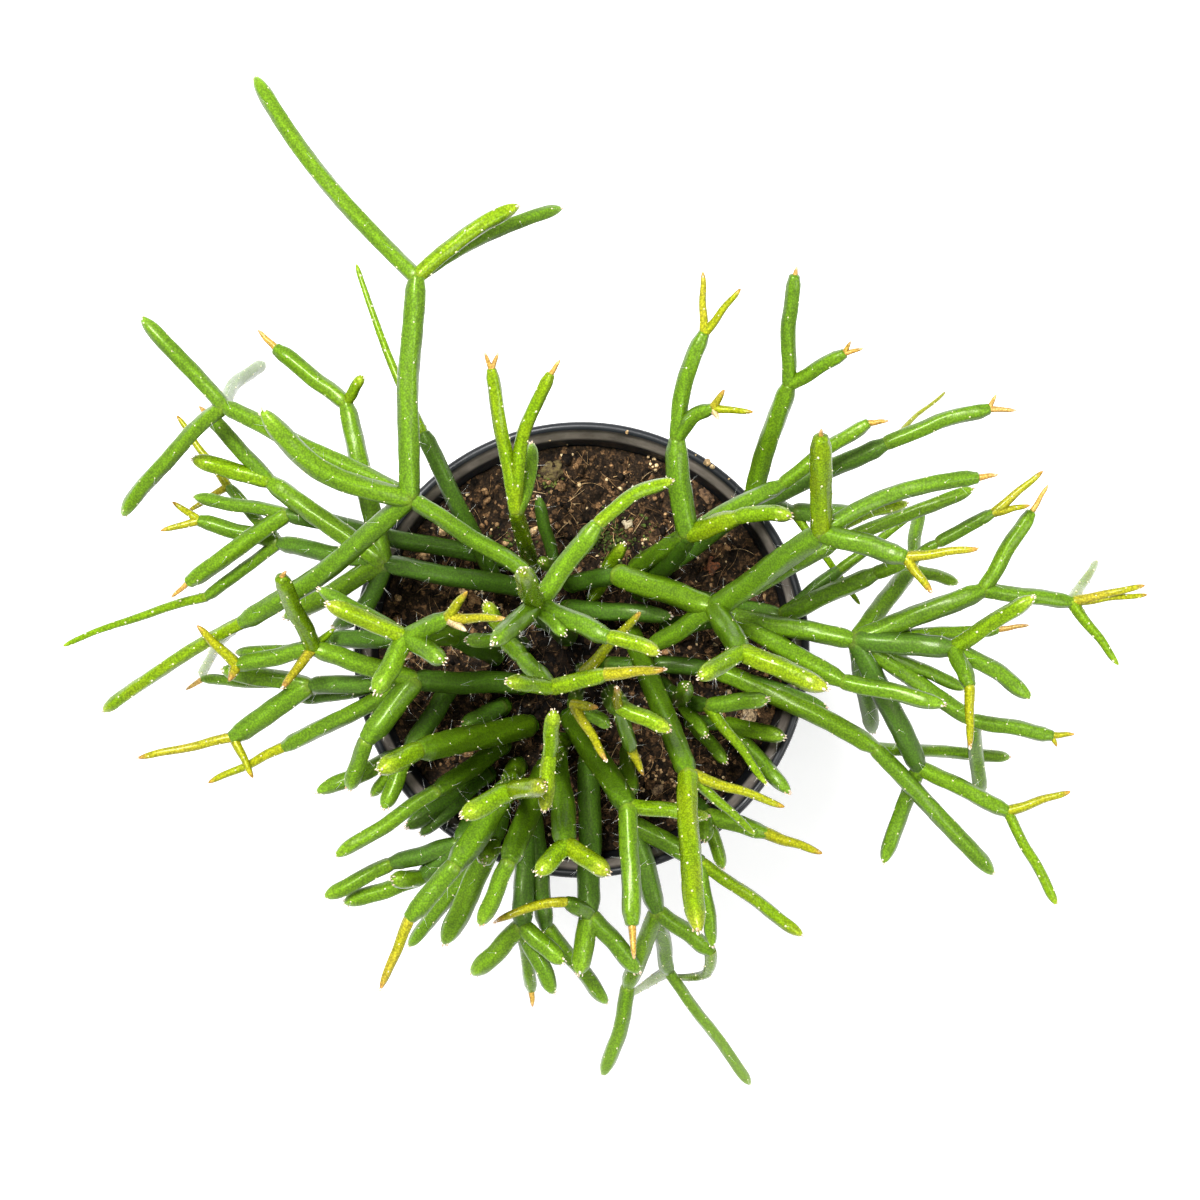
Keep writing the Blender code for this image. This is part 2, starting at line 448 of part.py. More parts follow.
def finish_mesh(mesh, smooth):
    """Tidies the seams of a mesh and brings it from millimetres to metres."""
    shape = bmesh.new()
    shape.from_mesh(mesh)
    bmesh.ops.remove_doubles(shape, verts=shape.verts, dist=SEAM)
    bmesh.ops.dissolve_degenerate(shape, edges=shape.edges, dist=SEAM)
    plain = [v for v in shape.verts if len(v.link_edges) == 2]
    bmesh.ops.dissolve_verts(shape, verts=plain)
    bmesh.ops.triangulate(shape, faces=shape.faces)
    bmesh.ops.scale(shape, vec=(MM, MM, MM), verts=shape.verts)
    shape.to_mesh(mesh)
    shape.free()
    if smooth:
        mesh.shade_smooth()
    else:
        mesh.shade_flat()
    return mesh


def circle(radius, z, sides, x=0.0, y=0.0):
    """The corners of a level ring."""
    angles = [2 * math.pi * i / sides for i in range(sides)]
    return [Vector((x + radius * math.cos(a), y + radius * math.sin(a), z)) for a in angles]


def wall_radius(z):
    """The inside radius of the pot's wall at a height."""
    share = (z - FLOOR) / (LEDGE_HEIGHT - FLOOR)
    return BASE_RADIUS - WALL + share * (SOIL_RADIUS + GAP - BASE_RADIUS + WALL)


def pot_profile():
    """The pot's section as radius and height: up the outside, over the lip and down the inside."""
    step = POT_HEIGHT - COLLAR_DEPTH
    return [
        (BASE_RADIUS - BASE_BEVEL, 0.0), (BASE_RADIUS, BASE_BEVEL), (wall_radius(step) + WALL, step),
        (LIP_RADIUS - SHOULDER_INSET, step + SHOULDER_RISE),
        *[(LIP_RADIUS - inset, POT_HEIGHT - drop) for inset, drop in LIP_SECTION],
        (LIP_RADIUS - LEDGE_INSET, LEDGE_HEIGHT + LEDGE_SLOPE),
        (wall_radius(LEDGE_HEIGHT), LEDGE_HEIGHT), (wall_radius(FLOOR), FLOOR),
    ]


def make_pot():
    """The pot with its drain holes."""
    shell = mesh_from([[circle(r, z, POT_SIDES) for r, z in pot_profile()]])
    drains = []
    for i in range(DRAIN_COUNT):
        angle = 2 * math.pi * (i + 0.5) / DRAIN_COUNT
        x = DRAIN_RING * math.cos(angle)
        y = DRAIN_RING * math.sin(angle)
        drains.append([circle(DRAIN_RADIUS, z, PEG_SIDES, x, y) for z in (-OVERCUT, FLOOR + OVERCUT)])
    pot = add_object("pot", finish_mesh(combined(shell, mesh_from(drains), "DIFFERENCE"), True))
    pot.data.set_sharp_from_angle(angle=math.radians(CREASE))
    paint(pot, POT_COLOUR, POT_ROUGHNESS)


def soil_height(x, y):
    """The height of the mix at a spot."""
    ripple = noise.noise(Vector((x, y, 0)) / SOIL_PATCH)
    edge = min(1.0, (SOIL_RADIUS - math.hypot(x, y)) / SOIL_PATCH)
    return POT_HEIGHT - SOIL_DROP + SOIL_BUMP * ripple * max(edge, 0.0)


def soil_rings():
    """The mix as level rings: up the wall, then over the uneven top to its middle."""
    bottom = FLOOR + GAP
    top = POT_HEIGHT - SOIL_DROP
    rings = [circle(wall_radius(bottom) - GAP, bottom, POT_SIDES)]
    for i in range(SOIL_RINGS):
        radius = (wall_radius(top) - GAP) * (1 - i / SOIL_RINGS)
        ring = circle(radius, 0, POT_SIDES)
        rings.append([Vector((p.x, p.y, soil_height(p.x, p.y))) for p in ring])
    return rings


def bit_rings(bit, grow):
    """One loose bit, half sunk in the mix, or the room it needs when it is grown a little."""
    x, y, length, width, thickness, turn, colour = BITS[bit]
    level = soil_height(x, y)
    rings = []
    for rise, share, side in BIT_LAYERS:
        ring = []
        for i in range(BIT_SIDES):
            angle = 2 * math.pi * i / BIT_SIDES
            wobble = 1 + BIT_WOBBLE * math.sin(BIT_WAVE * i + length)
            along = (length / 2 * share * wobble + grow) * math.cos(angle)
            across = (width / 2 * share * wobble + grow) * math.sin(angle)
            heading = math.radians(turn)
            spot_x = x + along * math.cos(heading) - across * math.sin(heading)
            spot_y = y + along * math.sin(heading) + across * math.cos(heading)
            z = level + thickness * rise + grow * side
            ring.append(Vector((spot_x, spot_y, z)))
        rings.append(ring)
    return rings


def make_bits():
    """The loose bits of bark and pumice."""
    for bit in BITS:
        thing = add_object(bit, finish_mesh(mesh_from([bit_rings(bit, 0.0)]), False))
        paint(thing, BITS[bit][-1], MIX_ROUGHNESS)


def make_soil(pegs):
    """The mix, with a socket for each stem and a dent for each bit."""
    body = mesh_from([soil_rings()])
    holes = []
    for x, y, radius in pegs:
        wide = (radius + GAP) / math.cos(math.pi / PEG_SIDES)
        foot = POT_HEIGHT - SOIL_DROP - PEG_DEPTH
        holes.append([circle(wide, z, PEG_SIDES, x, y) for z in (foot - GAP, POT_HEIGHT)])
    holes += [bit_rings(bit, GAP) for bit in BITS]
    soil = add_object("soil", finish_mesh(combined(body, mesh_from(holes), "DIFFERENCE"), False))
    paint(soil, MIX_COLOUR, MIX_ROUGHNESS)


class Plant:
    """Every joint and shoot of the stems, as arrays that can be moved together."""

    def __init__(self):
        self.drawn = []
        self.free = []
        self.shoots = []
        for stem, entries in STEMS.items():
            self.add_stem(stem, entries)
        self.drawn = np.array(self.drawn, float)
        self.free = np.array(self.free, float)
        self.spots = self.drawn.copy()
        self.lift = np.zeros(len(self.shoots))

    def add_stem(self, stem, entries):
        """Adds the joints of one stem, with a peg below its root."""
        x, y, height, width, age = entries[""][:5]
        foot = len(self.drawn)
        self.add_joint(x, y, -SOIL_DROP - PEG_DEPTH, 0)
        self.add_joint(x, y, height, 0)
        self.add_shoot(stem, "", foot, foot + 1, width, age, 0)
        places = {"": foot + 1}
        for key, entry in entries.items():
            if key == "":
                continue
            x, y, height, width, age = entry[:5]
            bow = entry[5] if len(entry) > 5 else 0
            places[key] = len(self.drawn)
            self.add_joint(x, y, height, 1)
            self.add_shoot(stem, key, places[key[:-1]], places[key], width, age, bow)

    def add_joint(self, x, y, height, free):
        """Adds a joint, which can move if free is 1 and not if it is 0."""
        self.drawn.append((x, y, height))
        self.free.append(free)

    def add_shoot(self, stem, key, start, end, width, age, bow):
        """Adds a shoot; its thickness is seen from the eye, so a low one is truly thicker."""
        radius = width / 2 * (EYE_HEIGHT - self.drawn[end][2]) / EYE_HEIGHT
        self.shoots.append({"stem": stem, "key": key, "start": start, "end": end,
                            "radius": radius, "age": age, "bow": bow})

    def places(self):
        """Where the joints truly are: each on the line of sight along which it is seen."""
        eye = np.array((EYE_X, EYE_Y))
        share = (EYE_HEIGHT - self.spots[:, 2:3]) / EYE_HEIGHT
        level = eye + (self.spots[:, :2] - eye) * share
        # A peg stands upright under its root.
        for shoot in self.shoots:
            if shoot["key"] == "":
                level[shoot["start"]] = level[shoot["end"]]
        return np.column_stack((level, self.spots[:, 2] + POT_HEIGHT))


def sample_plan(plant):
    """Spots along every shoot, close enough together that no other shoot slips between them."""
    joints = plant.places()
    which = []
    along = []
    for index, shoot in enumerate(plant.shoots):
        length = np.linalg.norm(joints[shoot["end"]] - joints[shoot["start"]])
        count = max(3, int(length / SAMPLE_STEP) + 2)
        which += [index] * count
        along += list(np.linspace(0, 1, count))
    return np.array(which), np.array(along)


def side_bows(plant, joints):
    """How far each shoot bows sideways at its middle."""
    starts = np.array([shoot["start"] for shoot in plant.shoots])
    ends = np.array([shoot["end"] for shoot in plant.shoots])
    bows = np.array([shoot["bow"] for shoot in plant.shoots])
    run = joints[ends] - joints[starts]
    size = np.maximum(np.hypot(run[:, 0], run[:, 1]), 1e-6)
    return np.column_stack((-run[:, 1] / size * bows, run[:, 0] / size * bows, plant.lift))


def sample_points(plant, which, along):
    """Where the spots along the shoots are now."""
    joints = plant.places()
    starts = np.array([shoot["start"] for shoot in plant.shoots])[which]
    ends = np.array([shoot["end"] for shoot in plant.shoots])[which]
    bows = side_bows(plant, joints)[which]
    t = along[:, None]
    return joints[starts] * (1 - t) + joints[ends] * t + 4 * t * (1 - t) * bows


def near_pairs(plant, which, points, radii):
    """Pairs of spots that are close, on shoots that don't share a joint."""
    starts = np.array([shoot["start"] for shoot in plant.shoots])[which]
    ends = np.array([shoot["end"] for shoot in plant.shoots])[which]
    pairs = []
    for i in range(len(points)):
        gaps = points[i + 1:] - points[i]
        close = (gaps ** 2).sum(axis=1) < (radii[i + 1:] + radii[i] + NEAR) ** 2
        for j in np.nonzero(close)[0] + i + 1:
            if not {starts[i], ends[i]} & {starts[j], ends[j]}:
                pairs.append((i, j))
    return np.array(pairs)


def contact_moves(points, radii, pairs):
    """How far each spot must move to clear the others, more up and down than sideways."""
    first, second = pairs[:, 0], pairs[:, 1]
    gap = points[second] - points[first]
    gap[:, 2] += np.where(np.abs(gap[:, 2]) < NUDGE, NUDGE, 0)
    size = np.linalg.norm(gap, axis=1)
    lack = radii[first] + radii[second] + CLEARANCE - size
    touching = lack > 0
    first, second, gap, lack = first[touching], second[touching], gap[touching], lack[touching]
    heading = gap * np.array((SIDE_SHARE, SIDE_SHARE, 1))
    heading /= np.linalg.norm(heading, axis=1)[:, None]
    push = heading * (lack / 2 + OVERPUSH)[:, None]
    moves = np.zeros_like(points)
    count = np.zeros(len(points))
    np.add.at(moves, first, -push)
    np.add.at(moves, second, push)
    np.add.at(count, first, 1)
    np.add.at(count, second, 1)
    return moves / np.maximum(count, 1)[:, None], count > 0


def ground_moves(points, radii):
    """How far each spot must rise to clear the mix, the pot's rim and the ground."""
    reach = np.hypot(points[:, 0], points[:, 1])
    floor = np.full(len(points), OVER_GROUND)
    floor[reach < SOIL_RADIUS + GAP] = POT_HEIGHT - SOIL_DROP + SOIL_BUMP + OVER_MIX
    over_rim = (reach > SOIL_RADIUS - RIM_MARGIN - radii) & (reach < LIP_RADIUS + RIM_MARGIN + radii)
    floor[over_rim] = POT_HEIGHT + OVER_RIM
    return np.maximum(floor + radii - points[:, 2], 0)


def spread_moves(plant, which, along, moves, active):
    """Hands the moves of the spots on to the joints and the arch of their shoots."""
    starts = np.array([shoot["start"] for shoot in plant.shoots])[which]
    ends = np.array([shoot["end"] for shoot in plant.shoots])[which]
    total = np.zeros_like(plant.spots)
    weight = np.zeros(len(plant.spots))
    for joint, share in ((starts, 1 - along), (ends, along)):
        share = share * active
        np.add.at(total, joint, moves * share[:, None])
        np.add.at(weight, joint, share)
    plant.spots += EASE * total / np.maximum(weight, LEAST_WEIGHT)[:, None] * plant.free[:, None]
    arch = 4 * along * (1 - along) * active
    rise = np.zeros(len(plant.lift))
    amount = np.zeros(len(plant.lift))
    np.add.at(rise, which, moves[:, 2] * arch)
    np.add.at(amount, which, arch)
    pegs = np.array([shoot["key"] != "" for shoot in plant.shoots])
    plant.lift += EASE * rise / np.maximum(amount, LEAST_WEIGHT) * pegs


def settle(plant):
    """Moves the joints a little until no shoot runs through another, the mix or the pot."""
    which, along = sample_plan(plant)
    radii = np.array([shoot["radius"] for shoot in plant.shoots])[which]
    pegs = np.array([shoot["key"] == "" for shoot in plant.shoots])[which]
    for step in range(SETTLE_ROUNDS):
        points = sample_points(plant, which, along)
        if step % PAIR_ROUNDS == 0:
            pairs = near_pairs(plant, which, points, radii)
        moves, active = contact_moves(points, radii, pairs)
        rise = ground_moves(points, radii)
        rise[pegs] = 0
        moves[:, 2] += rise
        active = active | (rise > 0)
        spread_moves(plant, which, along, moves, active)
        if step < PULL_ROUNDS:
            plant.spots += PULL_BACK * (plant.drawn - plant.spots)
            plant.lift *= 1 - PULL_BACK


def path_point(start, end, bow, t):
    """A point on a shoot that bows at its middle."""
    return start * (1 - t) + end * t + 4 * t * (1 - t) * bow


def ring_steps(length, radius, tip, bend):
    """Where the rings of a shoot stand, as distance from its joint and share of its thickness."""
    steps = [(-BACK * radius, NECK_SHARE), (SHOULDER * radius, SHOULDER_SHARE)]
    if bend > CURVED:
        steps += [(length / 3, 1.0), (length * 2 / 3, 1.0)]
    elif bend > STRAIGHT:
        steps += [(length / 2, 1.0)]
    if tip:
        steps += [(length - END_REACH * radius, END_SHARE), (length, TIP_SHARE)]
    else:
        steps += [(length - END_REACH * radius, 1.0), (length + OVERRUN * radius, OVERRUN_SHARE)]
    if length < STUBBY * radius:
        steps = [steps[0], (length / 2, 1.0), steps[-1]]
    return steps


def sprig_steps(length, radius, bend):
    """The rings of a thin shoot that runs out to a point."""
    middle = [(length / 2, 1.0)]
    if bend > STRAIGHT:
        middle = [(length / 3, 1.0), (length * 2 / 3, 1.0)]
    return [(-BACK * radius, NECK_SHARE), *middle, (length, SPRIG_TIP_SHARE)]


def steps_for(shoot, length, bend, tip):
    """The rings that suit a peg, a thin sprig or a full shoot."""
    radius = shoot["radius"]
    if shoot["key"] == "":
        crown = (length + OVERRUN * radius, OVERRUN_SHARE)
        return [(0.0, PEG_SHARE), (radius, 1.0), (length - radius, 1.0), crown]
    if tip and radius * 2 < SPRIG_WIDTH:
        return sprig_steps(length, radius, bend)
    return ring_steps(length, radius, tip, bend)


def shoot_rings(shoot, start, end, bow, tip):
    """The rings of one shoot."""
    radius = shoot["radius"]
    length = (end - start).length
    steps = steps_for(shoot, length, bow.length, tip)
    sides = SLIM_SIDES if radius * 2 < SLIM_WIDTH else SHOOT_SIDES
    rings = []
    for distance, share in steps:
        t = distance / length
        centre = path_point(start, end, bow, t)
        ahead = path_point(start, end, bow, t + PATH_STEP)
        behind = path_point(start, end, bow, t - PATH_STEP)
        heading = (ahead - behind).normalized()
        across = heading.cross(SIDE_GUIDE).normalized()
        up = across.cross(heading)
        ring = []
        for i in range(sides):
            angle = 2 * math.pi * (i + shoot["end"] * TURN_STEP) / sides
            ring.append(centre + radius * share * (across * math.cos(angle) + up * math.sin(angle)))
        rings.append(ring)
    return rings


def make_stems(plant):
    """Every rooted stem as one body: its peg in the mix and the shoots that grow from it."""
    joints = plant.places()
    bows = side_bows(plant, joints)
    parents = {shoot["start"] for shoot in plant.shoots}
    for stem in STEMS:
        tubes = []
        ages = []
        for index, shoot in enumerate(plant.shoots):
            if shoot["stem"] == stem:
                start = Vector(joints[shoot["start"]])
                end = Vector(joints[shoot["end"]])
                tip = shoot["end"] not in parents
                tubes.append(shoot_rings(shoot, start, end, Vector(bows[index]), tip))
                ages.append(shoot["age"])
        mesh = combined(mesh_from(tubes[:1]), mesh_from(tubes[1:]), "UNION")
        thing = add_object(stem, finish_mesh(mesh, True))
        paint(thing, STEM_COLOURS[max(ages, key=ages.count)], STEM_ROUGHNESS)


def peg_places(plant):
    """Where the stems stand in the mix, and how thick they are there."""
    joints = plant.places()
    return [(*joints[shoot["start"]][:2], shoot["radius"]) for shoot in plant.shoots if shoot["key"] == ""]


def main():
    """Builds the whole part."""
    clear_file()
    plant = Plant()
    settle(plant)
    make_pot()
    make_soil(peg_places(plant))
    make_bits()
    make_stems(plant)


main()
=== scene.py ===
# Mistletoe cactus in its pot: the looks of the stems, the mix and the nursery pot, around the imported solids.
# Metres, +Z up. The origin is on the pot's axis, on the flat base that it stands on.
import json
import math

import bmesh
import bpy
import numpy as np
from mathutils import Matrix, Vector, noise

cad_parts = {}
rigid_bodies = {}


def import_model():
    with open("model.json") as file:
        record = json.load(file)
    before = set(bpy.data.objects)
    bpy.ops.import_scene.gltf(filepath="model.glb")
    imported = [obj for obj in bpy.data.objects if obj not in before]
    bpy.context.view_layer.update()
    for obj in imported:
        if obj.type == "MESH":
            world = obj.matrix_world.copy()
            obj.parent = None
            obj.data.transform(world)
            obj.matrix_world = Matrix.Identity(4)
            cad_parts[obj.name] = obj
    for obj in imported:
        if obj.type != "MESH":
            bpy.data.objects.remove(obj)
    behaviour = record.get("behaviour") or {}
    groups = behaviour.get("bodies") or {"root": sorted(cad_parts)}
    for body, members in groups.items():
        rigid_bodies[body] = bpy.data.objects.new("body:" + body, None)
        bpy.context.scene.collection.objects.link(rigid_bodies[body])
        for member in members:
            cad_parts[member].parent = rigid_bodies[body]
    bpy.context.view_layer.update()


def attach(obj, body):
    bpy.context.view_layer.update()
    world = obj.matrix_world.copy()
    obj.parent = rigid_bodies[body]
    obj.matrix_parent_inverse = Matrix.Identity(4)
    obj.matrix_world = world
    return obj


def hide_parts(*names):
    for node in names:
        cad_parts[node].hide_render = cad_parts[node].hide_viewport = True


MM = 0.001

# Pot, in millimetres
POT_HEIGHT = 95.0
LIP_RADIUS = 60.4
COLLAR_DEPTH = 11.0
BASE_RADIUS = 42.0
WALL = 1.2
FLOOR = 2.4
LEDGE_HEIGHT = POT_HEIGHT - 9.0
DRAIN_COUNT = 8
DRAIN_RADIUS = 4.0
DRAIN_RING = 29.0

# Mix
GAP = 0.3
SOIL_DROP = 11.5
SOIL_RADIUS = 54.9
SOIL_BUMP = 0.8
SOIL_PATCH = 9.0
PEG_DEPTH = 12.0

# Shoots
EYE_HEIGHT = 850.0
EYE_X = 4.9
EYE_Y = 13.2
ROOT_RISE = 4.5
CLEARANCE = 1.0
SETTLE_ROUNDS = 260
PULL_ROUNDS = 182
PAIR_ROUNDS = 25
SPRIG_WIDTH = 2.7
SAMPLE_STEP = 2.5
NEAR = 7.0
SIDE_SHARE = 0.35
EASE = 0.45
PULL_BACK = 0.03
NUDGE = 0.01
OVERPUSH = 0.05
LEAST_WEIGHT = 0.2
OVER_GROUND = 0.6
OVER_MIX = 0.5
OVER_RIM = 0.7
RIM_MARGIN = 0.8

# Ages of a shoot, oldest first: woody green, full green, fresh green, yellow growth, bud, dry husk
OLD, RIPE, YOUNG, NEW, BUD, HUSK = range(6)
SOIL = ROOT_RISE - SOIL_DROP

